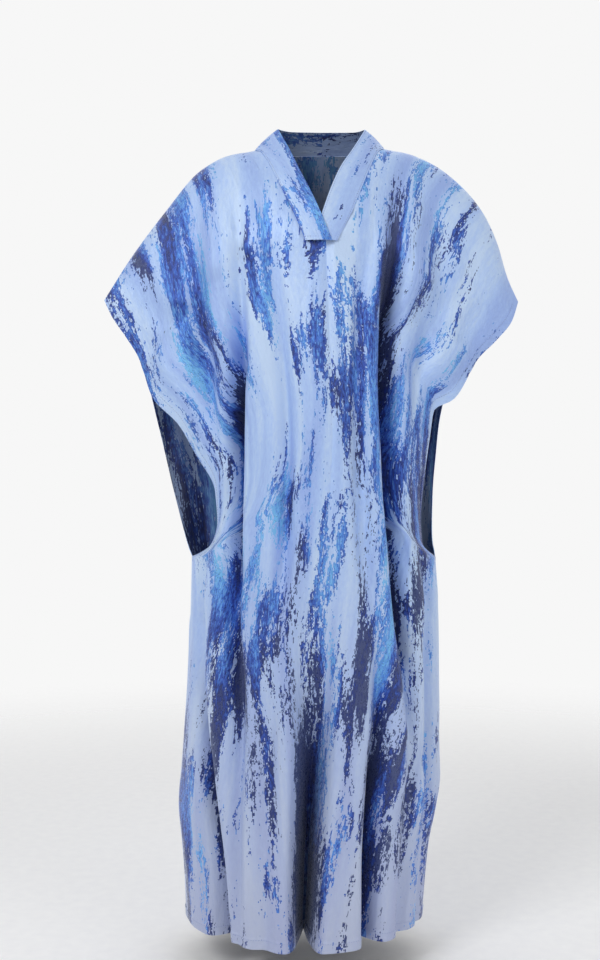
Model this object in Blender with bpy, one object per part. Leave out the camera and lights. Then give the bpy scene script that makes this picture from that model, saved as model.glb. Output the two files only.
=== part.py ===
"""Grand boubou robe: a wide V-necked caftan in brocade, worn, hollow and open at neck, hem and both arm slits.

Five cut pieces: two fronts joined at the centre front, one back, and a neck band in two halves.
Metres, +Z up, the front faces -Y, and -X is the wearer's right. The origin lies between the shoulders,
at the height where the robe rests on them. Each panel is made from level rows of cloth. A row runs from
the centre to the side edge on a smooth base curve, sinks into folds, and is then shared out evenly along
its own length, so the columns follow the threads of the cloth.
"""

import math

import bpy
import numpy as np

# Cloth sizes
WALL = 0.0015
SEAM_GAP = 0.0003
HALF_CLOTH = 0.52
NECK_HALF_CUT = 0.125
BAND_SEAM_GAP = 0.0005
BACK_SHOULDER_FALL = -0.45

# Where things happen down the cloth, as a share of the way from the shoulder line to the hem
TOP_END = 0.08
NECK_END = 0.14
SLIT_END = 0.45

# How finely the pieces are divided
ROWS = np.array(
    [0, 0.02, 0.05, 0.08, 0.11, 0.14, 0.19, 0.245, 0.3, 0.345, 0.385, 0.42, 0.45]
    + [0.5, 0.555, 0.61, 0.665, 0.72, 0.775, 0.83, 0.885, 0.945, 1.0]
)
BAND_ROWS = 3
DENSE = 260
STRENGTH_ROWS = 24

# Shoulder line from the neck point to the sleeve tip: share, x, y, z
SHOULDER = {
    -1: [
        (0.00, -0.1205, 0.004, 0.000),
        (0.14, -0.175, 0.004, -0.012),
        (0.28, -0.225, 0.003, -0.042),
        (0.52, -0.290, 0.002, -0.117),
        (0.76, -0.350, 0.001, -0.197),
        (1.00, -0.404, 0.000, -0.282),
    ],
    1: [
        (0.00, 0.1220, 0.004, 0.003),
        (0.11, 0.165, 0.004, -0.006),
        (0.24, 0.215, 0.004, -0.028),
        (0.38, 0.262, 0.003, -0.064),
        (0.55, 0.308, 0.002, -0.118),
        (0.70, 0.335, 0.001, -0.175),
        (0.87, 0.354, 0.000, -0.240),
        (1.00, 0.374, 0.000, -0.285),
    ],
}

# Edge of each front down the arm slit: share, x, y, z
FRONT_SLIT = {
    -1: [
        (0.000, -0.404, 0.000, -0.282),
        (0.030, -0.386, -0.014, -0.316),
        (0.070, -0.357, -0.030, -0.357),
        (0.106, -0.333, -0.040, -0.395),
        (0.168, -0.306, -0.055, -0.470),
        (0.221, -0.258, -0.064, -0.519),
        (0.272, -0.226, -0.070, -0.574),
        (0.335, -0.189, -0.072, -0.642),
        (0.387, -0.186, -0.058, -0.706),
        (0.420, -0.203, -0.030, -0.750),
        (0.450, -0.239, 0.000, -0.763),
    ],
    1: [
        (0.000, 0.374, 0.000, -0.285),
        (0.029, 0.358, -0.020, -0.325),
        (0.068, 0.327, -0.035, -0.362),
        (0.110, 0.290, -0.045, -0.399),
        (0.145, 0.270, -0.055, -0.436),
        (0.184, 0.244, -0.065, -0.473),
        (0.217, 0.210, -0.062, -0.492),
        (0.256, 0.200, -0.060, -0.545),
        (0.302, 0.192, -0.060, -0.602),
        (0.378, 0.184, -0.050, -0.690),
        (0.423, 0.190, -0.025, -0.745),
        (0.450, 0.218, 0.000, -0.763),
    ],
}

# Edge of the back down the arm slit: share, x, y, z
BACK_SLIT = {
    -1: [
        (0.000, -0.404, 0.000, -0.282),
        (0.030, -0.388, 0.014, -0.314),
        (0.075, -0.359, 0.035, -0.357),
        (0.115, -0.337, 0.048, -0.395),
        (0.186, -0.320, 0.060, -0.466),
        (0.287, -0.296, 0.075, -0.576),
        (0.354, -0.277, 0.068, -0.653),
        (0.423, -0.252, 0.035, -0.735),
        (0.450, -0.239, 0.000, -0.763),
    ],
    1: [
        (0.000, 0.374, 0.000, -0.285),
        (0.029, 0.360, 0.020, -0.325),
        (0.070, 0.325, 0.036, -0.362),
        (0.115, 0.285, 0.050, -0.400),
        (0.150, 0.262, 0.060, -0.436),
        (0.190, 0.240, 0.068, -0.475),
        (0.290, 0.226, 0.072, -0.580),
        (0.360, 0.219, 0.060, -0.660),
        (0.420, 0.216, 0.035, -0.735),
        (0.450, 0.218, 0.000, -0.763),
    ],
}

# Side seam, below the arm slit: share, x, y, z
SIDE_SEAM = {
    -1: [
        (0.450, -0.239, 0.000, -0.763),
        (0.518, -0.241, 0.003, -0.846),
        (0.642, -0.248, 0.006, -0.996),
        (0.766, -0.259, 0.010, -1.147),
        (0.827, -0.263, 0.010, -1.222),
        (0.889, -0.257, 0.012, -1.297),
        (1.000, -0.250, 0.015, -1.432),
    ],
    1: [
        (0.450, 0.218, 0.000, -0.763),
        (0.518, 0.222, 0.003, -0.846),
        (0.642, 0.225, 0.005, -0.996),
        (0.766, 0.227, 0.008, -1.147),
        (0.827, 0.220, 0.010, -1.222),
        (0.889, 0.206, 0.012, -1.297),
        (1.000, 0.193, 0.015, -1.432),
    ],
}

# Centre front seam and centre back, without their folds: share, x, y, z
CENTRE_FRONT = [
    (0.14, 0.0100, -0.1335, -0.188),
    (0.25, 0.0155, -0.148, -0.345),
    (0.36, 0.0220, -0.151, -0.503),
    (0.45, 0.0180, -0.152, -0.633),
    (0.54, 0.0060, -0.154, -0.765),
    (0.63, -0.0060, -0.159, -0.896),
    (0.75, -0.0120, -0.166, -1.070),
    (0.88, -0.0220, -0.178, -1.262),
    (1.00, -0.0300, -0.190, -1.440),
]
CENTRE_BACK = [
    (0.00, 0.007, 0.084, 0.010),
    (0.04, 0.007, 0.102, -0.040),
    (0.10, 0.007, 0.118, -0.125),
    (0.18, 0.006, 0.125, -0.240),
    (0.30, 0.005, 0.118, -0.410),
    (0.45, 0.000, 0.120, -0.630),
    (0.60, -0.005, 0.130, -0.850),
    (0.80, -0.012, 0.148, -1.140),
    (1.00, -0.020, 0.168, -1.435),
]

# Neckline where the band is sewn, from the neck point down to the centre front: share, x, y, z
NECKLINE = {
    -1: [
        (0.000, -0.1205, 0.004, 0.000),
        (0.030, -0.1080, -0.030, -0.012),
        (0.060, -0.0890, -0.066, -0.048),
        (0.080, -0.0765, -0.088, -0.078),
        (0.105, -0.0570, -0.111, -0.123),
        (0.120, -0.0430, -0.123, -0.152),
        (0.130, -0.0220, -0.130, -0.176),
        (0.140, 0.0100, -0.1335, -0.188),
    ],
    1: [
        (0.000, 0.1220, 0.004, 0.003),
        (0.030, 0.1100, -0.030, -0.010),
        (0.060, 0.0940, -0.064, -0.045),
        (0.080, 0.0825, -0.086, -0.075),
        (0.105, 0.0650, -0.110, -0.120),
        (0.120, 0.0530, -0.122, -0.150),
        (0.130, 0.0340, -0.130, -0.175),
        (0.140, 0.0100, -0.1335, -0.188),
    ],
}

# Neck band: below the neckline's share of 0.115 its sewn edge runs on over the fronts to a level end.
# Sewn edge of that stretch: share, x, y, z
BAND_LOW_EDGE = {
    -1: [
        (0.115, -0.0480, -0.1235, -0.143),
        (0.130, -0.0345, -0.1335, -0.176),
        (0.140, -0.0270, -0.1390, -0.196),
    ],
    1: [
        (0.115, 0.0575, -0.1215, -0.141),
        (0.130, 0.0400, -0.1320, -0.176),
        (0.140, 0.0300, -0.1372, -0.196),
    ],
}
# Free edge of the band, from its front end to the centre back: share (negative past the neck point), x, y, z
BAND_FREE_EDGE = {
    -1: [
        (-0.100, 0.0070, 0.0680, 0.052),
        (-0.050, -0.0530, 0.0520, 0.049),
        (0.000, -0.0775, 0.0040, 0.041),
        (0.035, -0.0560, -0.0500, -0.010),
        (0.060, -0.0360, -0.0820, -0.058),
        (0.090, -0.0127, -0.1120, -0.110),
        (0.115, 0.0030, -0.1330, -0.150),
        (0.140, 0.0207, -0.1420, -0.196),
    ],
    1: [
        (-0.100, 0.0070, 0.0680, 0.052),
        (-0.050, 0.0670, 0.0520, 0.048),
        (0.000, 0.0860, 0.0040, 0.040),
        (0.035, 0.0600, -0.0500, -0.012),
        (0.060, 0.0390, -0.0740, -0.047),
        (0.090, 0.0171, -0.1070, -0.101),
        (0.115, 0.0012, -0.1290, -0.151),
        (0.140, -0.0127, -0.1376, -0.196),
    ],
}
BAND_BACK_SHARE = -0.1

# Folds, from the centre outward. Each station is: share down the cloth, x, half width of the floor,
# softness of the lips, depth. Side folds deepen together until each row holds the cut's full width.
FRONT_CENTRE_FOLD = [
    (0.13, 0.012, 0.008, 0.004, 0.003),
    (0.19, 0.014, 0.008, 0.004, 0.004),
    (0.30, 0.019, 0.006, 0.005, 0.003),
    (0.45, 0.018, 0.010, 0.008, 0.002),
    (0.54, 0.006, 0.024, 0.020, 0.006),
    (0.63, -0.006, 0.036, 0.022, 0.024),
    (0.75, -0.012, 0.027, 0.014, 0.062),
    (0.88, -0.022, 0.020, 0.011, 0.100),
    (1.00, -0.030, 0.013, 0.009, 0.125),
]
BACK_CENTRE_FOLD = [
    (0.12, 0.006, 0.012, 0.016, 0.000),
    (0.40, 0.002, 0.014, 0.014, 0.030),
    (0.60, -0.004, 0.015, 0.013, 0.050),
    (0.80, -0.010, 0.016, 0.012, 0.070),
    (1.00, -0.016, 0.016, 0.011, 0.085),
]
FRONT_SIDE_FOLDS = {
    -1: {
        "bust_fold": [
            (0.08, -0.108, 0.010, 0.012, 0.000),
            (0.16, -0.084, 0.010, 0.014, 0.008),
            (0.25, -0.070, 0.010, 0.014, 0.016),
            (0.38, -0.064, 0.009, 0.012, 0.022),
            (0.50, -0.066, 0.009, 0.012, 0.020),
            (0.62, -0.082, 0.008, 0.012, 0.004),
            (0.75, -0.092, 0.009, 0.013, 0.012),
            (1.00, -0.100, 0.010, 0.014, 0.010),
        ],
        "arm_valley": [
            (0.08, -0.150, 0.006, 0.012, 0.000),
            (0.16, -0.148, 0.007, 0.010, 0.018),
            (0.24, -0.150, 0.010, 0.010, 0.045),
            (0.30, -0.158, 0.012, 0.010, 0.070),
            (0.36, -0.156, 0.010, 0.009, 0.070),
            (0.43, -0.158, 0.010, 0.009, 0.055),
            (0.55, -0.162, 0.011, 0.012, 0.045),
            (0.70, -0.152, 0.012, 0.013, 0.035),
            (0.84, -0.150, 0.012, 0.013, 0.020),
            (1.00, -0.150, 0.012, 0.012, 0.012),
        ],
        "side_fold": [
            (0.08, -0.235, 0.014, 0.018, 0.010),
            (0.17, -0.222, 0.014, 0.016, 0.028),
            (0.25, -0.205, 0.008, 0.012, 0.022),
            (0.31, -0.186, 0.005, 0.008, 0.004),
            (0.36, -0.180, 0.003, 0.005, 0.000),
            (0.42, -0.193, 0.004, 0.006, 0.000),
            (0.50, -0.222, 0.007, 0.010, 0.012),
            (0.62, -0.224, 0.008, 0.011, 0.030),
            (0.76, -0.212, 0.009, 0.010, 0.040),
            (0.90, -0.190, 0.010, 0.010, 0.055),
            (1.00, -0.180, 0.011, 0.010, 0.065),
        ],
    },
    1: {
        "front_fold": [
            (0.08, 0.110, 0.008, 0.012, 0.000),
            (0.18, 0.078, 0.009, 0.013, 0.010),
            (0.30, 0.066, 0.009, 0.012, 0.018),
            (0.42, 0.070, 0.009, 0.012, 0.024),
            (0.52, 0.082, 0.009, 0.012, 0.018),
            (0.60, 0.104, 0.010, 0.013, 0.008),
            (0.70, 0.113, 0.010, 0.012, 0.035),
            (0.80, 0.103, 0.010, 0.011, 0.065),
            (0.90, 0.095, 0.011, 0.010, 0.095),
            (1.00, 0.093, 0.012, 0.009, 0.115),
        ],
        "deep_fold": [
            (0.06, 0.150, 0.010, 0.014, 0.004),
            (0.12, 0.138, 0.011, 0.012, 0.028),
            (0.217, 0.128, 0.012, 0.010, 0.065),
            (0.30, 0.126, 0.013, 0.009, 0.095),
            (0.40, 0.132, 0.013, 0.009, 0.105),
            (0.48, 0.142, 0.013, 0.010, 0.090),
            (0.56, 0.155, 0.014, 0.012, 0.070),
            (0.66, 0.170, 0.012, 0.013, 0.040),
            (0.76, 0.172, 0.010, 0.012, 0.015),
            (0.88, 0.158, 0.009, 0.012, 0.018),
            (1.00, 0.148, 0.009, 0.012, 0.026),
        ],
        "side_fold": [
            (0.06, 0.225, 0.014, 0.020, 0.006),
            (0.12, 0.222, 0.014, 0.018, 0.020),
            (0.18, 0.200, 0.010, 0.014, 0.024),
            (0.24, 0.176, 0.006, 0.010, 0.014),
            (0.32, 0.168, 0.003, 0.006, 0.000),
            (0.42, 0.175, 0.003, 0.006, 0.000),
            (0.50, 0.200, 0.006, 0.009, 0.008),
            (0.62, 0.205, 0.008, 0.010, 0.022),
            (0.78, 0.205, 0.008, 0.011, 0.020),
            (1.00, 0.180, 0.007, 0.010, 0.012),
        ],
    },
}
BACK_SIDE_FOLDS = {
    -1: {
        "waist_fold": [
            (0.08, -0.070, 0.010, 0.014, 0.000),
            (0.30, -0.066, 0.010, 0.014, 0.008),
            (0.48, -0.070, 0.010, 0.012, 0.030),
            (0.75, -0.072, 0.011, 0.013, 0.025),
            (1.00, -0.070, 0.011, 0.014, 0.020),
        ],
        "blade_fold": [
            (0.06, -0.150, 0.012, 0.016, 0.000),
            (0.16, -0.142, 0.012, 0.014, 0.035),
            (0.30, -0.136, 0.012, 0.011, 0.070),
            (0.45, -0.134, 0.012, 0.011, 0.075),
            (0.70, -0.130, 0.013, 0.012, 0.060),
            (1.00, -0.122, 0.013, 0.011, 0.070),
        ],
        "side_fold": [
            (0.06, -0.245, 0.014, 0.018, 0.006),
            (0.14, -0.235, 0.012, 0.014, 0.030),
            (0.28, -0.214, 0.010, 0.012, 0.050),
            (0.42, -0.190, 0.009, 0.011, 0.035),
            (0.58, -0.186, 0.010, 0.012, 0.018),
            (0.80, -0.190, 0.012, 0.013, 0.025),
            (1.00, -0.196, 0.012, 0.012, 0.035),
        ],
    },
    1: {
        "waist_fold": [
            (0.08, 0.070, 0.009, 0.014, 0.000),
            (0.34, 0.060, 0.009, 0.014, 0.008),
            (0.52, 0.058, 0.010, 0.012, 0.026),
            (0.74, 0.052, 0.010, 0.013, 0.018),
            (1.00, 0.040, 0.010, 0.013, 0.012),
        ],
        "blade_fold": [
            (0.06, 0.140, 0.012, 0.016, 0.000),
            (0.16, 0.130, 0.012, 0.014, 0.040),
            (0.30, 0.122, 0.012, 0.011, 0.075),
            (0.45, 0.116, 0.012, 0.011, 0.070),
            (0.70, 0.104, 0.013, 0.012, 0.055),
            (1.00, 0.092, 0.013, 0.011, 0.075),
        ],
        "side_fold": [
            (0.06, 0.230, 0.012, 0.016, 0.006),
            (0.15, 0.214, 0.011, 0.013, 0.035),
            (0.28, 0.186, 0.009, 0.011, 0.045),
            (0.42, 0.176, 0.009, 0.011, 0.035),
            (0.60, 0.172, 0.010, 0.012, 0.030),
            (1.00, 0.150, 0.011, 0.012, 0.030),
        ],
    },
}
CREST, LIP, FLOOR = 1.3, 0.4, -0.5
LEAST_FLOOR = 0.35
LEAST_COLUMN = 0.003
LEAST_COLUMN_SHARE = 0.4
HALVINGS = 22
EDGE_CALM = 0.012
CENTRE_CALM = 0.03

# How a row bends round the body, how far its folds start below the slit, and how it sinks towards the edge
ROUNDNESS = (0.35, 1.0)
UNDER_SLIT_START = 0.375
SINK_REACH = 0.8
SINK_POWER = 1.85

# How the cloth leaves the shoulder line and the back neckline
LEAVE_STEP = 0.01
SHOULDER_PULL = 1.1
NECK_FALL = (0.0, 0.6, -0.8)
EDGE_HOLD = 4
CENTRE_HOLD = 0.3
NECK_STEPS = 60

# Which way is inward, and how much longer the wall's step may be where the cloth bends
MIDDLE_PULL = (0.3, 0.35)
SHOULDER_ROWS = 3
TIGHTEST_BEND = 0.62
NECK_MIDDLE = (0.007, 0.024, 0.02)
BAND_CURVE = 0.008
BAND_NECK_ROWS = (0.0, 0.02, 0.05)

# Brocade: metallic pale blue ground with navy brush streaks
CLOTH_COLOUR = (0.47, 0.56, 0.80, 1.0)
CLOTH_ROUGHNESS = 0.5
CLOTH_METALLIC = 0.25


def through(table, at):
    """Values on a smooth curve through a table's rows, which never overshoots between two rows."""
    rows = np.array(table, float)
    knots, values = rows[:, 0], rows[:, 1:]
    at = np.clip(np.atleast_1d(np.asarray(at, float)), knots[0], knots[-1])
    step = np.diff(knots)[:, None]
    rise = np.diff(values, axis=0) / step
    slope = np.zeros_like(values)
    slope[0], slope[-1] = rise[0], rise[-1]
    before, after = 2 * step[1:] + step[:-1], step[1:] + 2 * step[:-1]
    same = rise[:-1] * rise[1:] > 0
    safe_in, safe_out = np.where(same, rise[:-1], 1.0), np.where(same, rise[1:], 1.0)
    slope[1:-1] = np.where(same, (before + after) / (before / safe_in + after / safe_out), 0.0)
    i = np.clip(np.searchsorted(knots, at, side="right") - 1, 0, len(knots) - 2)
    u = ((at - knots[i]) / (knots[i + 1] - knots[i]))[:, None]
    return (
        values[i] * (1 + 2 * u) * (1 - u) ** 2
        + slope[i] * step[i] * u * (1 - u) ** 2
        + values[i + 1] * u**2 * (3 - 2 * u)
        + slope[i + 1] * step[i] * u**2 * (u - 1)
    )


def lengths(points):
    """Distance along a line of points, from its first point."""
    return np.concatenate([[0.0], np.cumsum(np.linalg.norm(np.diff(points, axis=0), axis=1))])


def share_out(points, shares):
    """The points that lie at the given shares of a line's length."""
    along = lengths(points)
    at = np.asarray(shares) * along[-1]
    return np.stack([np.interp(at, along, points[:, k]) for k in range(3)], axis=1)


def base_row(centre, edge, share, s):
    """A row of cloth with no folds: from the centre round to the side edge, sinking towards the edge."""
    roundness = np.interp(share, [TOP_END, SLIT_END], ROUNDNESS)
    under_slit = np.interp(share, [UNDER_SLIT_START, SLIT_END], [0.0, 1.0])
    early = np.clip(s / SINK_REACH, 0, 1)
    across = (1 - roundness) * s + roundness * np.sin(math.pi * s / 2)
    back = 1 - np.cos(math.pi * s / 2)
    down = (1 - under_slit) * s**SINK_POWER + under_slit * early**2 * (3 - 2 * early)
    weights = np.stack([across, back, down], axis=1)
    return centre + (edge - centre) * weights


class Row:
    """One row of a half panel: its base curve, and how its folds sink into it."""

    def __init__(self, side, facing, share):
        centre_table = CENTRE_FRONT if facing < 0 else CENTRE_BACK
        self.cut = HALF_CLOTH
        centre = through(centre_table, share)[0]
        if facing < 0 and share < NECK_END:
            centre = through(NECKLINE[side], share)[0]
            self.cut -= NECK_HALF_CUT * (1 - (share / NECK_END) ** 2)
        s = np.linspace(0, 1, DENSE)
        self.base = base_row(centre, side_edge(side, facing, share), share, s)
        plan = self.base * [1, 1, 0]
        self.plan = lengths(plan)
        tangent = unit(np.gradient(plan, self.plan, axis=0))
        self.inward = np.stack([tangent[:, 1], -tangent[:, 0], 0 * s], axis=1) * side * facing
        self.inward[0] = [0.0, -facing, 0.0]
        centre_fold = FRONT_CENTRE_FOLD if facing < 0 else BACK_CENTRE_FOLD
        side_folds = FRONT_SIDE_FOLDS[side] if facing < 0 else BACK_SIDE_FOLDS[side]
        calm = 1 - np.exp(-(((self.plan[-1] - self.plan) / EDGE_CALM) ** 2))
        centre_calm = 1 - np.exp(-((self.plan / CENTRE_CALM) ** 2))
        self.fixed, bends = self.fold(centre_fold, side, share)
        self.fixed = self.fixed * calm
        self.marks = [0.0] + sorted(bends)[-3:]
        self.loose = np.zeros(DENSE)
        for name, stations in side_folds.items():
            hollow, bends = self.fold(stations, side, share)
            self.loose += hollow * calm * centre_calm
            steps = (1, 2)
            if name == "side_fold":
                bends = bends[:1] + bends[2:4] + bends[5:]
                steps = (1.5,)
            self.marks += [self.marks[-1] + (bends[0] - self.marks[-1]) * k / 3 for k in steps] + bends
        self.marks += [(self.marks[-1] + self.plan[-1]) / 2, self.plan[-1]]

    def fold(self, stations, side, share):
        """How far the base row sinks into one fold, and where along the row its crests, lips and floor lie."""
        x, floor, lip, depth = through(stations, share)[0]
        away = (x - self.base[0, 0]) * side
        middle = np.interp(away, (self.base[:, 0] - self.base[0, 0]) * side, self.plan) if away > 0 else away
        beside = self.plan - middle
        hollow = np.tanh((beside + floor) / lip) - np.tanh((beside - floor) / lip)
        outward = [max(floor + FLOOR * lip, LEAST_FLOOR * floor), floor + LIP * lip, floor + CREST * lip]
        bends = [middle - w for w in outward[::-1]] + [middle + w for w in outward]
        return depth * hollow / (2 * math.tanh(floor / lip)), bends

    def columns(self, fine):
        """Where the columns cross this row, along its base curve."""
        at = np.array(self.marks)
        count = len(at)
        least = min(LEAST_COLUMN, LEAST_COLUMN_SHARE * self.plan[-1] / count)
        at = np.maximum(at, least * np.arange(count))
        at[0] = 0.0
        for k in range(1, count):
            at[k] = max(at[k], at[k - 1] + least)
        at[-1] = self.plan[-1]
        for k in range(count - 2, -1, -1):
            at[k] = min(at[k], at[k + 1] - least)
        at[0] = 0.0
        steps = np.linspace(0, count - 1, (count - 1) * fine + 1)
        return np.interp(steps, np.arange(count), at)

    def sunk(self, strength):
        """The row as a dense line, with its side folds sunk by the given strength."""
        return self.base + self.inward * (self.fixed + strength * self.loose)[:, None]

    def needed(self):
        """The strength at which this row is as long as the cut is wide."""
        low, high = 0.0, 1.0
        for _ in range(HALVINGS):
            strength = (low + high) / 2
            if lengths(self.sunk(strength))[-1] < self.cut:
                low = strength
            else:
                high = strength
        return strength


def fold_strengths(side, facing):
    """A table of strengths down a half panel, smoothed so that the folds change evenly."""
    shares = np.linspace(TOP_END, 1, STRENGTH_ROWS)
    needed = np.array([Row(side, facing, share).needed() for share in shares])
    for _ in range(2):
        padded = np.concatenate([needed[:1], needed, needed[-1:]])
        needed = 0.25 * padded[:-2] + 0.5 * padded[1:-1] + 0.25 * padded[2:]
    return np.stack([shares, needed], axis=1)


def panel_row(side, facing, share, strengths, fine):
    """One row of points, and how far along the cloth each point lies from the centre."""
    row = Row(side, facing, share)
    line = row.sunk(through(strengths, share)[0, 0])
    at = row.columns(fine)
    points = np.stack([np.interp(at, row.plan, line[:, k]) for k in range(3)], axis=1)
    return points, np.interp(at, row.plan, lengths(line))


def side_edge(side, facing, share):
    """Where a row meets the panel's side edge."""
    if share >= SLIT_END:
        return through(SIDE_SEAM[side], share)[0]
    return through((FRONT_SLIT if facing < 0 else BACK_SLIT)[side], share)[0]


def top_line(side, facing, along, fine):
    """The panel's upper edge at the next row's columns: shoulder line, after half the neckline on the back."""
    line = through(SHOULDER[side], np.linspace(0, 1, DENSE))
    shares = along / along[-1]
    neck_column = 0
    if facing > 0:
        neck = back_neckline(side)
        line = np.concatenate([neck[:-1], line])
        corner = lengths(neck)[-1] / lengths(line)[-1]
        neck_column = fine * int(round(np.argmin(abs(shares[::fine] - corner))))
        at = shares[neck_column]
        before = shares * corner / at
        after = corner + (shares - at) * (1 - corner) / (1 - at)
        shares = np.where(np.arange(len(shares)) <= neck_column, before, after)
    return share_out(line, shares), neck_column


def back_neckline(side):
    """From the centre back to the neck point, a quarter of an oval."""
    turn = np.linspace(0, math.pi / 2, NECK_STEPS)
    middle = np.array(CENTRE_BACK[0][1:])
    point = np.array(SHOULDER[side][0][1:])
    return np.stack(
        [
            middle[0] + (point[0] - middle[0]) * np.sin(turn),
            point[1] + (middle[1] - point[1]) * np.cos(turn),
            point[2] + (middle[2] - point[2]) * np.cos(turn) ** 2,
        ],
        axis=1,
    )


def half_panel(side, facing, shares, fine):
    """Outer points of a half panel, rows down and columns from centre to edge. facing is -1 for a front."""
    strengths = fold_strengths(side, facing)
    end, along = panel_row(side, facing, TOP_END, strengths, fine)
    below, _ = panel_row(side, facing, TOP_END + LEAVE_STEP, strengths, fine)
    start, neck_column = top_line(side, facing, along, fine)
    leave = (below - end) / LEAVE_STEP * TOP_END
    reach = np.linalg.norm(end - start, axis=1)
    direction = np.zeros_like(start)
    direction[:, 1] = facing
    if facing > 0:
        on_neck = np.clip(1 - np.arange(len(along)) / neck_column, 0, 1)[:, None]
        direction[:, 2] = BACK_SHOULDER_FALL
        direction = direction * (1 - on_neck) + np.array(NECK_FALL) * on_neck
    start_pull = direction * reach[:, None] * SHOULDER_PULL
    end_pull = leave * (reach / np.linalg.norm(leave, axis=1))[:, None]
    centre_table = NECKLINE[side] if facing < 0 else CENTRE_BACK
    part = along / along[-1]
    grid = []
    for share in shares:
        if share >= TOP_END - 1e-9:
            grid.append(panel_row(side, facing, share, strengths, fine)[0])
            continue
        u = share / TOP_END
        row = (
            start * (1 + 2 * u) * (1 - u) ** 2
            + start_pull * u * (1 - u) ** 2
            + end * u**2 * (3 - 2 * u)
            + end_pull * u**2 * (u - 1)
        )
        row += (side_edge(side, facing, share) - row[-1]) * part[:, None] ** EDGE_HOLD
        near_centre = np.clip(1 - part[:, None] / CENTRE_HOLD, 0, 1) ** 2
        row += (through(centre_table, share)[0] - row[0]) * near_centre
        grid.append(row)
    return np.array(grid), neck_column


def unit(vectors):
    return vectors / np.linalg.norm(vectors, axis=-1, keepdims=True)


def run(grid, axis):
    """Directions along a grid's lines, each the middle of the two steps that meet there."""
    steps = unit(np.diff(grid, axis=axis))
    first, last = np.take(steps, [0], axis), np.take(steps, [-1], axis)
    return np.concatenate([first, steps], axis) + np.concatenate([steps, last], axis)


def grid_normals(grid, inside):
    """Wall directions at a grid of points, toward the inside, longer where the cloth bends."""
    down, across = run(grid, 0), run(grid, 1)
    bend = np.clip(np.linalg.norm(across, axis=-1, keepdims=True) / 2, TIGHTEST_BEND, 1)
    normal = unit(np.cross(down, across))
    return normal * np.sign((normal * inside).sum()) / bend


def toward_inside(grid, facing):
    """Rough inward directions: to the robe's middle, and down under the shoulders."""
    inside = np.zeros_like(grid)
    inside[..., 0] = -MIDDLE_PULL[0] * grid[..., 0]
    inside[..., 1] = -facing * MIDDLE_PULL[1]
    inside[:SHOULDER_ROWS, :, 2] = -1.0
    return inside


def across_seam(line, axis, inside):
    """The direction of the wall at a seam, square to the seam line and to the given axis."""
    normal = unit(np.cross(np.gradient(line, axis=0), axis))
    return normal * np.sign((normal * inside).sum(axis=-1, keepdims=True))


def panel_walls(side, facing, shares, fine):
    """Outer points, inward wall directions and neck column of a half panel, parted from its neighbours."""
    outer, neck_column = half_panel(side, facing, shares, fine)
    inside = toward_inside(outer, facing)
    normal = grid_normals(outer, inside)
    y_axis, x_axis = np.array([0.0, 1.0, 0.0]), np.array([1.0, 0.0, 0.0])
    seam = np.asarray(shares) >= SLIT_END
    normal[seam, -1] = across_seam(outer[:, -1], y_axis, np.array([-side, 0, 0]))[seam]
    shoulder_wall = across_seam(outer[0], y_axis, np.array([0, 0, -1.0]))
    if facing < 0:
        normal[0] = shoulder_wall
        joined = np.asarray(shares) >= NECK_END - 1e-9
        normal[joined, 0] = across_seam(outer[:, 0], x_axis, np.array([0, 1.0, 0]))[joined]
        outer[joined, 0, 0] += side * SEAM_GAP / 2
    else:
        normal[0, neck_column:] = shoulder_wall[neck_column:]
    outer[0, neck_column:, 1] += facing * SEAM_GAP / 2
    outer[seam, -1, 1] += facing * SEAM_GAP / 2
    return outer, normal, neck_column


def full_back(shares, fine):
    """Outer points and wall directions of the back, from the wearer's right edge to the left one."""
    halves = [panel_walls(side, 1, shares, fine)[:2] for side in (-1, 1)]
    joined = []
    for right, left in zip(*halves):
        middle = (right[:, :1] + left[:, :1]) / 2
        joined.append(np.concatenate([right[:, :0:-1], middle, left[:, 1:]], axis=1))
    return joined[0], joined[1]


def band_grid(side, fine):
    """Outer points and wall directions of half the neck band, from its front end to the centre back."""
    low_start = BAND_LOW_EDGE[side][0][0]
    shares = fine_steps(ROWS[ROWS < low_start], fine)
    front, front_wall, _ = panel_walls(side, -1, np.append(shares, [low_start, NECK_END]), fine)
    back, back_wall, neck_column = panel_walls(side, 1, BAND_NECK_ROWS, fine)
    lift = WALL + BAND_SEAM_GAP
    count = len(shares)
    on_front = (front[:, 0] - front_wall[:, 0] * lift)[:count]
    on_back = (back[0] - back_wall[0] * lift)[:neck_column]
    on_front[0] = (front[0, 0] + back[0, neck_column]) / 2 + [0, 0, lift]
    low_shares = fine_steps(np.array([row[0] for row in BAND_LOW_EDGE[side]]), fine)
    low = through(BAND_LOW_EDGE[side], low_shares)
    behind = lengths(np.concatenate([on_front[:1], on_back[::-1]]))[1:]
    stations = np.concatenate([low_shares[::-1], shares[::-1], BAND_BACK_SHARE * behind / behind[-1]])
    sewn = np.concatenate([low[::-1], on_front[::-1], on_back[::-1]])
    free = through(BAND_FREE_EDGE[side], stations)
    v = np.linspace(0, 1, BAND_ROWS * fine + 1)[:, None, None]
    outer = sewn[None] * (1 - v) + free[None] * v
    inside = np.array(NECK_MIDDLE) - outer
    normal = grid_normals(outer, inside)
    outer = outer - normal * v * (1 - v) * BAND_CURVE
    normal[:, -1] = across_seam(outer[:, -1], np.array([1.0, 0, 0]), np.array([0, -1.0, 0]))
    outer[:, -1, 0] = BAND_FREE_EDGE[side][0][1] + side * SEAM_GAP / 2
    return outer, normal


def fine_steps(values, fine):
    """The values with finer steps put evenly between each two."""
    last = len(values) - 1
    return np.interp(np.linspace(0, last, last * fine + 1), np.arange(last + 1), values)


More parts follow.
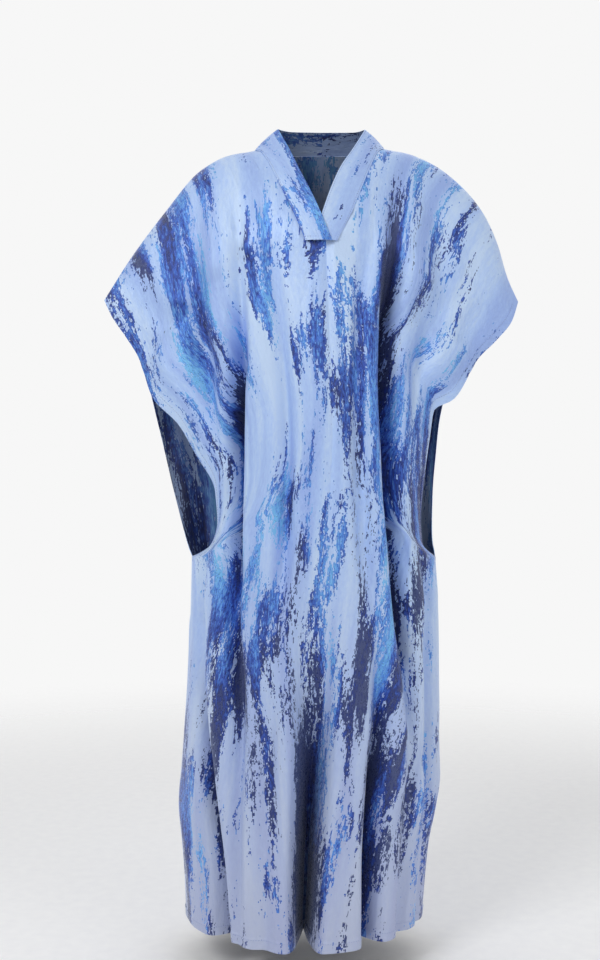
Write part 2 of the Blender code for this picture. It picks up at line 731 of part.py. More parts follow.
def wall_object(name, outer, wall, material):
    """A closed solid between a grid of points and the same grid moved in by the cloth's thickness."""
    inner = outer + wall * WALL
    rows, columns = outer.shape[:2]
    count = rows * columns
    points = np.concatenate([outer.reshape(-1, 3), inner.reshape(-1, 3)])
    index = np.arange(count).reshape(rows, columns)
    quads = np.stack([index[:-1, :-1], index[:-1, 1:], index[1:, 1:], index[1:, :-1]], axis=-1).reshape(-1, 4)
    corners = points[quads]
    first = np.linalg.norm(corners[:, 0] - corners[:, 2], axis=1)
    second = np.linalg.norm(corners[:, 1] - corners[:, 3], axis=1)
    split = first < second
    turned = np.where(split[:, None], quads, np.roll(quads, -1, axis=1))
    triangles = np.concatenate([turned[:, [0, 1, 2]], turned[:, [0, 2, 3]]])
    faces = [tuple(t) for t in triangles] + [tuple(t[::-1] + count) for t in triangles]
    rim = np.concatenate([index[0, :-1], index[:-1, -1], index[-1, :0:-1], index[:0:-1, 0]])
    for a, b in zip(rim, np.roll(rim, -1)):
        if points[a, 2] > points[b, 2]:
            faces += [(b, a, b + count), (a, a + count, b + count)]
        else:
            faces += [(b, a, a + count), (b, a + count, b + count)]
    mesh = bpy.data.meshes.new(name)
    mesh.from_pydata([tuple(p) for p in points], [], [tuple(int(i) for i in f) for f in faces])
    mesh.validate()
    piece = bpy.data.objects.new(name, mesh)
    bpy.context.scene.collection.objects.link(piece)
    face_outward(mesh)
    mesh.materials.append(material)
    mesh.shade_smooth()
    return piece


def face_outward(mesh):
    """Turns the faces over if the closed mesh is inside out."""
    mesh.calc_loop_triangles()
    points = np.array([v.co for v in mesh.vertices])
    corners = points[np.array([t.vertices for t in mesh.loop_triangles])]
    volume = (corners[:, 0] * np.cross(corners[:, 1], corners[:, 2])).sum() / 6
    if volume < 0:
        mesh.flip_normals()


def cloth_material(name):
    material = bpy.data.materials.new(name)
    material.use_nodes = True
    shader = material.node_tree.nodes["Principled BSDF"]
    shader.inputs["Base Color"].default_value = CLOTH_COLOUR
    shader.inputs["Roughness"].default_value = CLOTH_ROUGHNESS
    shader.inputs["Metallic"].default_value = CLOTH_METALLIC
    return material


def main():
    for leftover in list(bpy.data.objects):
        bpy.data.objects.remove(leftover)
    for name, side in (("front_right", -1), ("front_left", 1)):
        outer, wall, _ = panel_walls(side, -1, ROWS, 1)
        wall_object(name, outer, wall, cloth_material(name))
    outer, wall = full_back(ROWS, 1)
    wall_object("back", outer, wall, cloth_material("back"))
    for name, side in (("neck_band_right", -1), ("neck_band_left", 1)):
        outer, wall = band_grid(side, 1)
        wall_object(name, outer, wall, cloth_material(name))


main()
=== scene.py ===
"""The looks of the grand boubou robe: brocade cloth with creases, hems and sewing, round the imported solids.

Metres, +Z up, the front faces -Y. Each panel's form comes from the same tables of rows and folds as its solid,
with finer rows and columns. Creases, hems and seams are then pressed into it on the flat cloth's own
coordinates.
"""

import math

import bpy
import numpy as np
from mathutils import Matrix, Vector


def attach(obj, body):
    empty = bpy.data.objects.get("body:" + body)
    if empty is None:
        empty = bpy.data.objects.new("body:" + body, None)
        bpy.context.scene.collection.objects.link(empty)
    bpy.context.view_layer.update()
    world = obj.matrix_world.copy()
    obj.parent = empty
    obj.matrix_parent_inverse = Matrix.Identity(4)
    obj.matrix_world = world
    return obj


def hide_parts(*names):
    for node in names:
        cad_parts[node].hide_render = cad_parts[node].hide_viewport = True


# Cloth sizes
WALL = 0.0011
HALF_CLOTH = 0.52
NECK_HALF_CUT = 0.125
BAND_SEAM_GAP = 0.0001
BACK_SHOULDER_FALL = -0.45

# Where things happen down the cloth, as a share of the way from the shoulder line to the hem
TOP_END = 0.08
NECK_END = 0.14
SLIT_END = 0.45

# How finely the pieces are divided
ROWS = np.array(
    [0, 0.02, 0.05, 0.08, 0.11, 0.14, 0.19, 0.245, 0.3, 0.345, 0.385, 0.42, 0.45]
    + [0.5, 0.555, 0.61, 0.665, 0.72, 0.775, 0.83, 0.885, 0.945, 1.0]
)
BAND_ROWS = 3
DENSE = 260
STRENGTH_ROWS = 24
SAME_SHARE = 1e-9

# Shoulder line from the neck point to the sleeve tip: share, x, y, z
SHOULDER = {
    -1: [
        (0.00, -0.1205, 0.004, 0.000),
        (0.14, -0.175, 0.004, -0.012),
        (0.28, -0.225, 0.003, -0.042),
        (0.52, -0.290, 0.002, -0.117),
        (0.76, -0.350, 0.001, -0.197),
        (1.00, -0.404, 0.000, -0.282),
    ],
    1: [
        (0.00, 0.1220, 0.004, 0.003),
        (0.11, 0.165, 0.004, -0.006),
        (0.24, 0.215, 0.004, -0.028),
        (0.38, 0.262, 0.003, -0.064),
        (0.55, 0.308, 0.002, -0.118),
        (0.70, 0.335, 0.001, -0.175),
        (0.87, 0.354, 0.000, -0.240),
        (1.00, 0.374, 0.000, -0.285),
    ],
}

# Edge of each front down the arm slit: share, x, y, z
FRONT_SLIT = {
    -1: [
        (0.000, -0.404, 0.000, -0.282),
        (0.030, -0.386, -0.014, -0.316),
        (0.070, -0.357, -0.030, -0.357),
        (0.106, -0.333, -0.040, -0.395),
        (0.168, -0.306, -0.055, -0.470),
        (0.221, -0.258, -0.064, -0.519),
        (0.272, -0.226, -0.070, -0.574),
        (0.335, -0.189, -0.072, -0.642),
        (0.387, -0.186, -0.058, -0.706),
        (0.420, -0.203, -0.030, -0.750),
        (0.450, -0.239, 0.000, -0.763),
    ],
    1: [
        (0.000, 0.374, 0.000, -0.285),
        (0.029, 0.358, -0.020, -0.325),
        (0.068, 0.327, -0.035, -0.362),
        (0.110, 0.290, -0.045, -0.399),
        (0.145, 0.270, -0.055, -0.436),
        (0.184, 0.244, -0.065, -0.473),
        (0.217, 0.210, -0.062, -0.492),
        (0.256, 0.200, -0.060, -0.545),
        (0.302, 0.192, -0.060, -0.602),
        (0.378, 0.184, -0.050, -0.690),
        (0.423, 0.190, -0.025, -0.745),
        (0.450, 0.218, 0.000, -0.763),
    ],
}

# Edge of the back down the arm slit: share, x, y, z
BACK_SLIT = {
    -1: [
        (0.000, -0.404, 0.000, -0.282),
        (0.030, -0.388, 0.014, -0.314),
        (0.075, -0.359, 0.035, -0.357),
        (0.115, -0.337, 0.048, -0.395),
        (0.186, -0.320, 0.060, -0.466),
        (0.287, -0.296, 0.075, -0.576),
        (0.354, -0.277, 0.068, -0.653),
        (0.423, -0.252, 0.035, -0.735),
        (0.450, -0.239, 0.000, -0.763),
    ],
    1: [
        (0.000, 0.374, 0.000, -0.285),
        (0.029, 0.360, 0.020, -0.325),
        (0.070, 0.325, 0.036, -0.362),
        (0.115, 0.285, 0.050, -0.400),
        (0.150, 0.262, 0.060, -0.436),
        (0.190, 0.240, 0.068, -0.475),
        (0.290, 0.226, 0.072, -0.580),
        (0.360, 0.219, 0.060, -0.660),
        (0.420, 0.216, 0.035, -0.735),
        (0.450, 0.218, 0.000, -0.763),
    ],
}

# Side seam, below the arm slit: share, x, y, z
SIDE_SEAM = {
    -1: [
        (0.450, -0.239, 0.000, -0.763),
        (0.518, -0.241, 0.003, -0.846),
        (0.642, -0.248, 0.006, -0.996),
        (0.766, -0.259, 0.010, -1.147),
        (0.827, -0.263, 0.010, -1.222),
        (0.889, -0.257, 0.012, -1.297),
        (1.000, -0.250, 0.015, -1.432),
    ],
    1: [
        (0.450, 0.218, 0.000, -0.763),
        (0.518, 0.222, 0.003, -0.846),
        (0.642, 0.225, 0.005, -0.996),
        (0.766, 0.227, 0.008, -1.147),
        (0.827, 0.220, 0.010, -1.222),
        (0.889, 0.206, 0.012, -1.297),
        (1.000, 0.193, 0.015, -1.432),
    ],
}

# Centre front seam and centre back, without their folds: share, x, y, z
CENTRE_FRONT = [
    (0.14, 0.0100, -0.1335, -0.188),
    (0.25, 0.0155, -0.148, -0.345),
    (0.36, 0.0220, -0.151, -0.503),
    (0.45, 0.0180, -0.152, -0.633),
    (0.54, 0.0060, -0.154, -0.765),
    (0.63, -0.0060, -0.159, -0.896),
    (0.75, -0.0120, -0.166, -1.070),
    (0.88, -0.0220, -0.178, -1.262),
    (1.00, -0.0300, -0.190, -1.440),
]
CENTRE_BACK = [
    (0.00, 0.007, 0.084, 0.010),
    (0.04, 0.007, 0.102, -0.040),
    (0.10, 0.007, 0.118, -0.125),
    (0.18, 0.006, 0.125, -0.240),
    (0.30, 0.005, 0.118, -0.410),
    (0.45, 0.000, 0.120, -0.630),
    (0.60, -0.005, 0.130, -0.850),
    (0.80, -0.012, 0.148, -1.140),
    (1.00, -0.020, 0.168, -1.435),
]

# Neckline where the band is sewn, from the neck point down to the centre front: share, x, y, z
NECKLINE = {
    -1: [
        (0.000, -0.1205, 0.004, 0.000),
        (0.030, -0.1080, -0.030, -0.012),
        (0.060, -0.0890, -0.066, -0.048),
        (0.080, -0.0765, -0.088, -0.078),
        (0.105, -0.0570, -0.111, -0.123),
        (0.120, -0.0430, -0.123, -0.152),
        (0.130, -0.0220, -0.130, -0.176),
        (0.140, 0.0100, -0.1335, -0.188),
    ],
    1: [
        (0.000, 0.1220, 0.004, 0.003),
        (0.030, 0.1100, -0.030, -0.010),
        (0.060, 0.0940, -0.064, -0.045),
        (0.080, 0.0825, -0.086, -0.075),
        (0.105, 0.0650, -0.110, -0.120),
        (0.120, 0.0530, -0.122, -0.150),
        (0.130, 0.0340, -0.130, -0.175),
        (0.140, 0.0100, -0.1335, -0.188),
    ],
}

# Neck band: below the neckline's share of 0.115 its sewn edge runs on over the fronts to a level end.
# Sewn edge of that stretch: share, x, y, z
BAND_LOW_EDGE = {
    -1: [
        (0.115, -0.0480, -0.1235, -0.143),
        (0.130, -0.0345, -0.1335, -0.176),
        (0.140, -0.0270, -0.1390, -0.196),
    ],
    1: [
        (0.115, 0.0575, -0.1215, -0.141),
        (0.130, 0.0400, -0.1320, -0.176),
        (0.140, 0.0300, -0.1372, -0.196),
    ],
}
# Free edge of the band, from its front end to the centre back: share (negative past the neck point), x, y, z
BAND_FREE_EDGE = {
    -1: [
        (-0.100, 0.0070, 0.0680, 0.052),
        (-0.050, -0.0530, 0.0520, 0.049),
        (0.000, -0.0775, 0.0040, 0.041),
        (0.035, -0.0560, -0.0500, -0.010),
        (0.060, -0.0360, -0.0820, -0.058),
        (0.090, -0.0127, -0.1120, -0.110),
        (0.115, 0.0030, -0.1330, -0.150),
        (0.140, 0.0207, -0.1420, -0.196),
    ],
    1: [
        (-0.100, 0.0070, 0.0680, 0.052),
        (-0.050, 0.0670, 0.0520, 0.048),
        (0.000, 0.0860, 0.0040, 0.040),
        (0.035, 0.0600, -0.0500, -0.012),
        (0.060, 0.0390, -0.0740, -0.047),
        (0.090, 0.0171, -0.1070, -0.101),
        (0.115, 0.0012, -0.1290, -0.151),
        (0.140, -0.0127, -0.1376, -0.196),
    ],
}
BAND_BACK_SHARE = -0.1

# Folds, from the centre outward. Each station is: share down the cloth, x, half width of the floor,
# softness of the lips, depth. Side folds deepen together until each row holds the cut's full width.
FRONT_CENTRE_FOLD = [
    (0.13, 0.012, 0.008, 0.004, 0.003),
    (0.19, 0.014, 0.008, 0.004, 0.004),
    (0.30, 0.019, 0.006, 0.005, 0.003),
    (0.45, 0.018, 0.010, 0.008, 0.002),
    (0.54, 0.006, 0.024, 0.020, 0.006),
    (0.63, -0.006, 0.036, 0.022, 0.024),
    (0.75, -0.012, 0.027, 0.014, 0.062),
    (0.88, -0.022, 0.020, 0.011, 0.100),
    (1.00, -0.030, 0.013, 0.009, 0.125),
]
BACK_CENTRE_FOLD = [
    (0.12, 0.006, 0.012, 0.016, 0.000),
    (0.40, 0.002, 0.014, 0.014, 0.030),
    (0.60, -0.004, 0.015, 0.013, 0.050),
    (0.80, -0.010, 0.016, 0.012, 0.070),
    (1.00, -0.016, 0.016, 0.011, 0.085),
]
FRONT_SIDE_FOLDS = {
    -1: {
        "bust_fold": [
            (0.08, -0.108, 0.010, 0.012, 0.000),
            (0.16, -0.084, 0.010, 0.014, 0.008),
            (0.25, -0.070, 0.010, 0.014, 0.016),
            (0.38, -0.064, 0.009, 0.012, 0.022),
            (0.50, -0.066, 0.009, 0.012, 0.020),
            (0.62, -0.082, 0.008, 0.012, 0.004),
            (0.75, -0.092, 0.009, 0.013, 0.012),
            (1.00, -0.100, 0.010, 0.014, 0.010),
        ],
        "arm_valley": [
            (0.08, -0.150, 0.006, 0.012, 0.000),
            (0.16, -0.148, 0.007, 0.010, 0.018),
            (0.24, -0.150, 0.010, 0.010, 0.045),
            (0.30, -0.158, 0.012, 0.010, 0.070),
            (0.36, -0.156, 0.010, 0.009, 0.070),
            (0.43, -0.158, 0.010, 0.009, 0.055),
            (0.55, -0.162, 0.011, 0.012, 0.045),
            (0.70, -0.152, 0.012, 0.013, 0.035),
            (0.84, -0.150, 0.012, 0.013, 0.020),
            (1.00, -0.150, 0.012, 0.012, 0.012),
        ],
        "side_fold": [
            (0.08, -0.235, 0.014, 0.018, 0.010),
            (0.17, -0.222, 0.014, 0.016, 0.028),
            (0.25, -0.205, 0.008, 0.012, 0.022),
            (0.31, -0.186, 0.005, 0.008, 0.004),
            (0.36, -0.180, 0.003, 0.005, 0.000),
            (0.42, -0.193, 0.004, 0.006, 0.000),
            (0.50, -0.222, 0.007, 0.010, 0.012),
            (0.62, -0.224, 0.008, 0.011, 0.030),
            (0.76, -0.212, 0.009, 0.010, 0.040),
            (0.90, -0.190, 0.010, 0.010, 0.055),
            (1.00, -0.180, 0.011, 0.010, 0.065),
        ],
    },
    1: {
        "front_fold": [
            (0.08, 0.110, 0.008, 0.012, 0.000),
            (0.18, 0.078, 0.009, 0.013, 0.010),
            (0.30, 0.066, 0.009, 0.012, 0.018),
            (0.42, 0.070, 0.009, 0.012, 0.024),
            (0.52, 0.082, 0.009, 0.012, 0.018),
            (0.60, 0.104, 0.010, 0.013, 0.008),
            (0.70, 0.113, 0.010, 0.012, 0.035),
            (0.80, 0.103, 0.010, 0.011, 0.065),
            (0.90, 0.095, 0.011, 0.010, 0.095),
            (1.00, 0.093, 0.012, 0.009, 0.115),
        ],
        "deep_fold": [
            (0.06, 0.150, 0.010, 0.014, 0.004),
            (0.12, 0.138, 0.011, 0.012, 0.028),
            (0.217, 0.128, 0.012, 0.010, 0.065),
            (0.30, 0.126, 0.013, 0.009, 0.095),
            (0.40, 0.132, 0.013, 0.009, 0.105),
            (0.48, 0.142, 0.013, 0.010, 0.090),
            (0.56, 0.155, 0.014, 0.012, 0.070),
            (0.66, 0.170, 0.012, 0.013, 0.040),
            (0.76, 0.172, 0.010, 0.012, 0.015),
            (0.88, 0.158, 0.009, 0.012, 0.018),
            (1.00, 0.148, 0.009, 0.012, 0.026),
        ],
        "side_fold": [
            (0.06, 0.225, 0.014, 0.020, 0.006),
            (0.12, 0.222, 0.014, 0.018, 0.020),
            (0.18, 0.200, 0.010, 0.014, 0.024),
            (0.24, 0.176, 0.006, 0.010, 0.014),
            (0.32, 0.168, 0.003, 0.006, 0.000),
            (0.42, 0.175, 0.003, 0.006, 0.000),
            (0.50, 0.200, 0.006, 0.009, 0.008),
            (0.62, 0.205, 0.008, 0.010, 0.022),
            (0.78, 0.205, 0.008, 0.011, 0.020),
            (1.00, 0.180, 0.007, 0.010, 0.012),
        ],
    },
}
BACK_SIDE_FOLDS = {
    -1: {
        "waist_fold": [
            (0.08, -0.070, 0.010, 0.014, 0.000),
            (0.30, -0.066, 0.010, 0.014, 0.008),
            (0.48, -0.070, 0.010, 0.012, 0.030),
            (0.75, -0.072, 0.011, 0.013, 0.025),
            (1.00, -0.070, 0.011, 0.014, 0.020),
        ],
        "blade_fold": [
            (0.06, -0.150, 0.012, 0.016, 0.000),
            (0.16, -0.142, 0.012, 0.014, 0.035),
            (0.30, -0.136, 0.012, 0.011, 0.070),
            (0.45, -0.134, 0.012, 0.011, 0.075),
            (0.70, -0.130, 0.013, 0.012, 0.060),
            (1.00, -0.122, 0.013, 0.011, 0.070),
        ],
        "side_fold": [
            (0.06, -0.245, 0.014, 0.018, 0.006),
            (0.14, -0.235, 0.012, 0.014, 0.030),
            (0.28, -0.214, 0.010, 0.012, 0.050),
            (0.42, -0.190, 0.009, 0.011, 0.035),
            (0.58, -0.186, 0.010, 0.012, 0.018),
            (0.80, -0.190, 0.012, 0.013, 0.025),
            (1.00, -0.196, 0.012, 0.012, 0.035),
        ],
    },
    1: {
        "waist_fold": [
            (0.08, 0.070, 0.009, 0.014, 0.000),
            (0.34, 0.060, 0.009, 0.014, 0.008),
            (0.52, 0.058, 0.010, 0.012, 0.026),
            (0.74, 0.052, 0.010, 0.013, 0.018),
            (1.00, 0.040, 0.010, 0.013, 0.012),
        ],
        "blade_fold": [
            (0.06, 0.140, 0.012, 0.016, 0.000),
            (0.16, 0.130, 0.012, 0.014, 0.040),
            (0.30, 0.122, 0.012, 0.011, 0.075),
            (0.45, 0.116, 0.012, 0.011, 0.070),
            (0.70, 0.104, 0.013, 0.012, 0.055),
            (1.00, 0.092, 0.013, 0.011, 0.075),
        ],
        "side_fold": [
            (0.06, 0.230, 0.012, 0.016, 0.006),
            (0.15, 0.214, 0.011, 0.013, 0.035),
            (0.28, 0.186, 0.009, 0.011, 0.045),
            (0.42, 0.176, 0.009, 0.011, 0.035),
            (0.60, 0.172, 0.010, 0.012, 0.030),
            (1.00, 0.150, 0.011, 0.012, 0.030),
        ],
    },
}
CREST, LIP, FLOOR = 1.3, 0.4, -0.5
LEAST_FLOOR = 0.35
LEAST_COLUMN = 0.003
LEAST_COLUMN_SHARE = 0.4
HALVINGS = 22
EDGE_CALM = 0.012
CENTRE_CALM = 0.03

# How a row bends round the body, how far its folds start below the slit, and how it sinks towards the edge
ROUNDNESS = (0.35, 1.0)
UNDER_SLIT_START = 0.375
SINK_REACH = 0.8
SINK_POWER = 1.85

# How the cloth leaves the shoulder line and the back neckline
LEAVE_STEP = 0.01
SHOULDER_PULL = 1.1
NECK_FALL = (0.0, 0.6, -0.8)
EDGE_HOLD = 4
CENTRE_HOLD = 0.3
NECK_STEPS = 60

# Which way is inward, and how much longer the wall's step may be where the cloth bends
MIDDLE_PULL = (0.3, 0.35)
SHOULDER_ROWS = 3
TIGHTEST_BEND = 0.62
NECK_MIDDLE = (0.007, 0.024, 0.02)
BAND_CURVE = 0.008
BAND_NECK_ROWS = (0.0, 0.02, 0.05)

# Creases, placed on the flat cloth. u is measured across from the centre, and y down from the
# shoulder line.
# Each is: u and y of its start, u and y of its end, bow, half width, depth (a ridge has a negative depth)
FRONT_CREASES = {
    -1: [
        (0.120, 0.10, 0.128, 0.42, 0.006, 0.010, -0.0040),
        (0.150, 0.16, 0.142, 0.52, -0.008, 0.012, 0.0050),
        (0.235, 0.12, 0.190, 0.40, 0.012, 0.016, 0.0060),
        (0.300, 0.10, 0.235, 0.38, 0.015, 0.014, -0.0050),
        (0.345, 0.09, 0.270, 0.40, 0.012, 0.018, 0.0070),
        (0.400, 0.10, 0.330, 0.33, 0.010, 0.012, 0.0045),
        (0.430, 0.16, 0.385, 0.38, -0.008, 0.010, -0.0035),
        (0.055, 0.42, 0.050, 0.78, 0.005, 0.009, 0.0035),
        (0.030, 0.28, 0.034, 0.52, 0.003, 0.008, -0.0022),
        (0.095, 0.48, 0.082, 0.95, -0.006, 0.011, 0.0045),
        (0.150, 0.66, 0.165, 1.02, 0.010, 0.013, -0.0050),
        (0.210, 0.70, 0.190, 1.00, -0.010, 0.010, 0.0050),
        (0.300, 0.74, 0.280, 1.10, 0.012, 0.012, 0.0055),
        (0.360, 0.72, 0.400, 0.98, 0.014, 0.010, -0.0040),
        (0.460, 0.78, 0.430, 1.16, -0.010, 0.011, 0.0050),
        (0.120, 1.02, 0.110, 1.40, 0.006, 0.013, 0.0050),
        (0.190, 1.10, 0.200, 1.44, -0.005, 0.010, -0.0040),
        (0.255, 1.06, 0.262, 1.38, 0.008, 0.012, 0.0055),
        (0.330, 1.16, 0.345, 1.45, 0.006, 0.014, 0.0060),
        (0.420, 1.20, 0.405, 1.45, -0.006, 0.010, -0.0045),
    ],
    1: [
        (0.100, 0.10, 0.085, 0.36, 0.006, 0.010, -0.0035),
        (0.170, 0.08, 0.130, 0.34, -0.006, 0.012, 0.0055),
        (0.240, 0.06, 0.175, 0.36, 0.012, 0.013, -0.0055),
        (0.290, 0.07, 0.215, 0.36, 0.014, 0.016, 0.0070),
        (0.350, 0.08, 0.270, 0.40, 0.012, 0.012, 0.0050),
        (0.400, 0.08, 0.320, 0.34, 0.010, 0.012, -0.0045),
        (0.440, 0.14, 0.370, 0.40, -0.006, 0.010, 0.0040),
        (0.022, 0.30, 0.026, 0.62, 0.003, 0.008, 0.0028),
        (0.046, 0.24, 0.050, 0.50, -0.004, 0.008, -0.0025),
        (0.075, 0.50, 0.070, 0.88, 0.006, 0.010, 0.0040),
        (0.245, 0.46, 0.275, 0.76, 0.012, 0.011, -0.0050),
        (0.300, 0.60, 0.290, 0.92, 0.008, 0.012, 0.0055),
        (0.350, 0.66, 0.372, 0.84, 0.006, 0.010, 0.0045),
        (0.130, 0.84, 0.120, 1.20, -0.008, 0.012, 0.0050),
        (0.420, 0.74, 0.400, 1.12, 0.010, 0.012, 0.0055),
        (0.470, 0.90, 0.455, 1.22, -0.005, 0.009, -0.0035),
        (0.240, 0.98, 0.225, 1.36, 0.010, 0.012, -0.0050),
        (0.330, 1.00, 0.345, 1.40, -0.008, 0.014, 0.0060),
        (0.400, 1.18, 0.390, 1.45, 0.004, 0.010, 0.0045),
    ],
}
BACK_CREASES = {
    -1: [
        (0.060, 0.14, 0.052, 0.46, 0.005, 0.012, 0.0035),
        (0.110, 0.20, 0.098, 0.56, -0.008, 0.013, -0.0040),
        (0.215, 0.10, 0.190, 0.40, 0.010, 0.015, 0.0055),
        (0.300, 0.08, 0.262, 0.36, 0.012, 0.014, -0.0050),
        (0.360, 0.10, 0.322, 0.44, 0.010, 0.016, 0.0065),
        (0.425, 0.09, 0.392, 0.36, -0.006, 0.011, 0.0040),
        (0.076, 0.60, 0.082, 1.02, 0.006, 0.012, 0.0045),
        (0.205, 0.56, 0.215, 0.94, -0.007, 0.012, 0.0050),
        (0.335, 0.62, 0.318, 0.98, 0.010, 0.011, -0.0045),
        (0.455, 0.76, 0.440, 1.18, 0.008, 0.012, 0.0050),
        (0.130, 1.00, 0.120, 1.38, 0.006, 0.012, -0.0040),
        (0.262, 1.04, 0.276, 1.45, -0.006, 0.013, 0.0055),
        (0.405, 1.12, 0.392, 1.45, 0.008, 0.011, 0.0045),
    ],
    1: [
        (0.045, 0.18, 0.050, 0.58, 0.005, 0.012, 0.0035),
        (0.128, 0.12, 0.110, 0.44, -0.006, 0.013, 0.0050),
        (0.195, 0.10, 0.172, 0.38, 0.010, 0.013, -0.0045),
        (0.275, 0.08, 0.242, 0.40, 0.010, 0.016, 0.0060),
        (0.340, 0.10, 0.300, 0.36, 0.012, 0.012, 0.0050),
        (0.410, 0.08, 0.372, 0.42, 0.006, 0.014, -0.0050),
        (0.090, 0.52, 0.084, 0.90, 0.006, 0.012, -0.0040),
        (0.190, 0.64, 0.180, 1.06, -0.006, 0.012, 0.0050),
        (0.300, 0.58, 0.312, 0.96, 0.010, 0.013, 0.0055),
        (0.430, 0.72, 0.446, 1.06, 0.008, 0.011, -0.0040),
        (0.070, 1.02, 0.066, 1.36, 0.005, 0.012, 0.0045),
        (0.232, 1.10, 0.222, 1.45, -0.006, 0.012, -0.0040),
        (0.372, 1.06, 0.386, 1.42, 0.008, 0.013, 0.0055),
    ],
}

# A crease fades to its ends, widens toward its second end, and is wider on one side
CREASE_FADE = 0.8
CREASE_SPREAD = (0.75, 0.5)
CREASE_WIDE_SIDE = 1.7
# Ripples: how fast each wave turns across and down the cloth, and its size
RIPPLES = [(23, 3.1, 0.0009), (41, 5.3, 0.0007), (67, 4.4, 0.0004), (95, 11, 0.0003)]
RIPPLE_BEND = 1.7
RIPPLE_APART = 2.1
RIPPLE_SIDE = 0.9
# Where creases die out: at seams, under the shoulder line, and round each slit's foot, down and across
SEAM_CALM = 0.012
TOP_CALM = 0.02
SLIT_FOOT_CALM = (0.05, 0.04)
SLIT_FREE = 0.01

# Hems and stitches
HEM_WIDTH = 0.019
HEM_ROWS = (0.032, 0.026, 0.0225, 0.0208, 0.0197, 0.0187, 0.0176, 0.0160, 0.012, 0.007, 0.003)
HEM_STEP = 0.0011
HEM_SHARP = 0.0007
SLIT_HEM_SHARP = 0.0009
HEM_SET_IN = 0.012
SEAM_SET_IN = 0.02
SEAM_DIP = 0.0016
SEAM_DIP_WIDTH = 0.003
STITCH_LENGTH = 0.0034
STITCH_PITCH = 0.0046
STITCH_RADIUS = 0.00038
CLOTH_LENGTH = 1.45
FINE = 6
SHARP_ANGLE = 65
FOLD_CALM = 0.02
# Strokes follow the threads, evened out over this length: at the shoulders, and from the slits' ends down
THREAD_REACH_AT = (0.10, 0.45)
THREAD_REACH = (0.32, 0.09)
THREAD_STATIONS = 200

STITCH_SIDES = 5
STITCH_START = 0.15
STITCH_SHARES = (0.0, 0.18, 0.82, 1.0)
STITCH_THICK = (0.5, 1.0, 1.0, 0.5)
STITCH_LIFT = (-0.5, 0.5, 0.5, -0.5)
SLIT_STITCH_INSET = 0.0155
STITCH_ENDS = 0.012
HEM_STITCH_INSET = 0.0160
BAND_WIDTH = 0.045
BAND_STITCH_ROWS = (0.08, 0.93)
BAND_END_INSET = 0.006

# How far along the bolt the back and the left band were cut, so that their patterns don't mirror their neighbours'
BACK_CUT_ASIDE = 2.37
BAND_CUT_ASIDE = 0.83

# Brocade
CLOTH_UV = "cloth"
RIBS = 200.0
WARP_RIBS = 1.3
BUMP = (0.55, 0.0022)
# Layers of noise: scale across and down the cloth, how far aside, detail and roughness
NOISES = {
    "sway": (6.0, 2.6, 40, 1.0, 0.5),
    "clusters": (8.0, 2.3, 0, 2.0, 0.5),
    "strokes": (27.0, 5.4, 11, 4.0, 0.62),
    "ragged": (180.0, 80.0, 17, 2.0, 0.6),
    "glint_filaments": (520.0, 70.0, 23, 1.0, 0.5),
    "tone": (12.0, 2.1, 31, 3.0, 0.55),
    "pale": (18.0, 1.6, 51, 3.0, 0.5),
    "crinkle": (120.0, 34.0, 61, 3.0, 0.6),
    "cockle": (48.0, 30.0, 67, 2.0, 0.5),
}
SHIFT_DOWN = 1.7
THREAD_STEP = (0.0018, 0.0027, 1.0)
STROKE_SWAY = 0.02
STROKE_LEVEL = 1.20
STROKE_BLUR = 0.03
STROKE_COLOURS = [(0.34, "#46527F"), (0.43, "#2C3A78"), (0.51, "#3555B4"), (0.61, "#4F86E0"), (0.74, "#7CC2F5")]
GROUND_COLOURS = [(0.30, "#9FBAF3"), (0.48, "#B2CEFD"), (0.66, "#C8DFFF")]
# Painted shade: the ground is painted greyer towards the hem; share, where down the cloth it starts and is full,
# colour
LOW_SHADE = 0.72
LOW_SHADE_AT = (0.7, 1.45)
LOW_SHADE_COLOUR = "#B4B6CE"
# Painted highlight: pale cyan flecks painted into the strokes' colour stand in for the metallic threads' glints
PAINTED_GLINT = 0.55
PAINTED_GLINT_COLOUR = "#93CBFB"
SHEEN_COLOUR = "#DCE6FF"
# The inner face is duller like a real reverse, and its colour is painted darker as painted shade inside the robe
REVERSE_SHADE_COLOUR = "#1E2A55"
REVERSE_SHADE = 0.6
BAND_STRIP = (0.028, -0.02)
STRIP_BLUR = 0.004
STRIP_STROKES = 0.22
FOLD_SHADE = "fold_depth"
# Painted shade: deep folds get more strokes, and darker ones; depth where it starts, depth where it is full, extra
# strokes
PAINTED_SHADE_STROKES = (0.016, 0.05, 0.16)
# Painted shade: cloth deep in a fold is multiplied toward dark navy; depth where it starts, depth where it is
# full, strength
PAINTED_FOLD_SHADE = (0.03, 0.11, 0.62)
PAINTED_FOLD_SHADE_COLOUR = "#1C2650"
BARE_BAND = 0.17

# Studio
METRES_PER_PIXEL = 0.00188
PHOTO_HEIGHT = 960
SENSOR = 36.0
CAMERA_X, CAMERA_DISTANCE, CAMERA_Z = -0.036, 2.3, -0.62
FLOOR_Z = -1.50
FLOOR_REACH = 4.0
WORLD_BRIGHT = 0.93
WORLD_DIM = 0.42
WORLD_TURN = (-0.5, 0.7)
FLOOR_FADE = (1.1, 3.2)
LIGHTS_AIM = (0, 0, -0.65)
LIGHTS = [
    ("key", (-1.9, -2.6, 1.5), 1.4, 52.0),
    ("fill", (2.6, -2.4, 0.2), 2.2, 21.0),
    ("behind", (0.8, 3.0, 1.4), 2.0, 9.0),
]


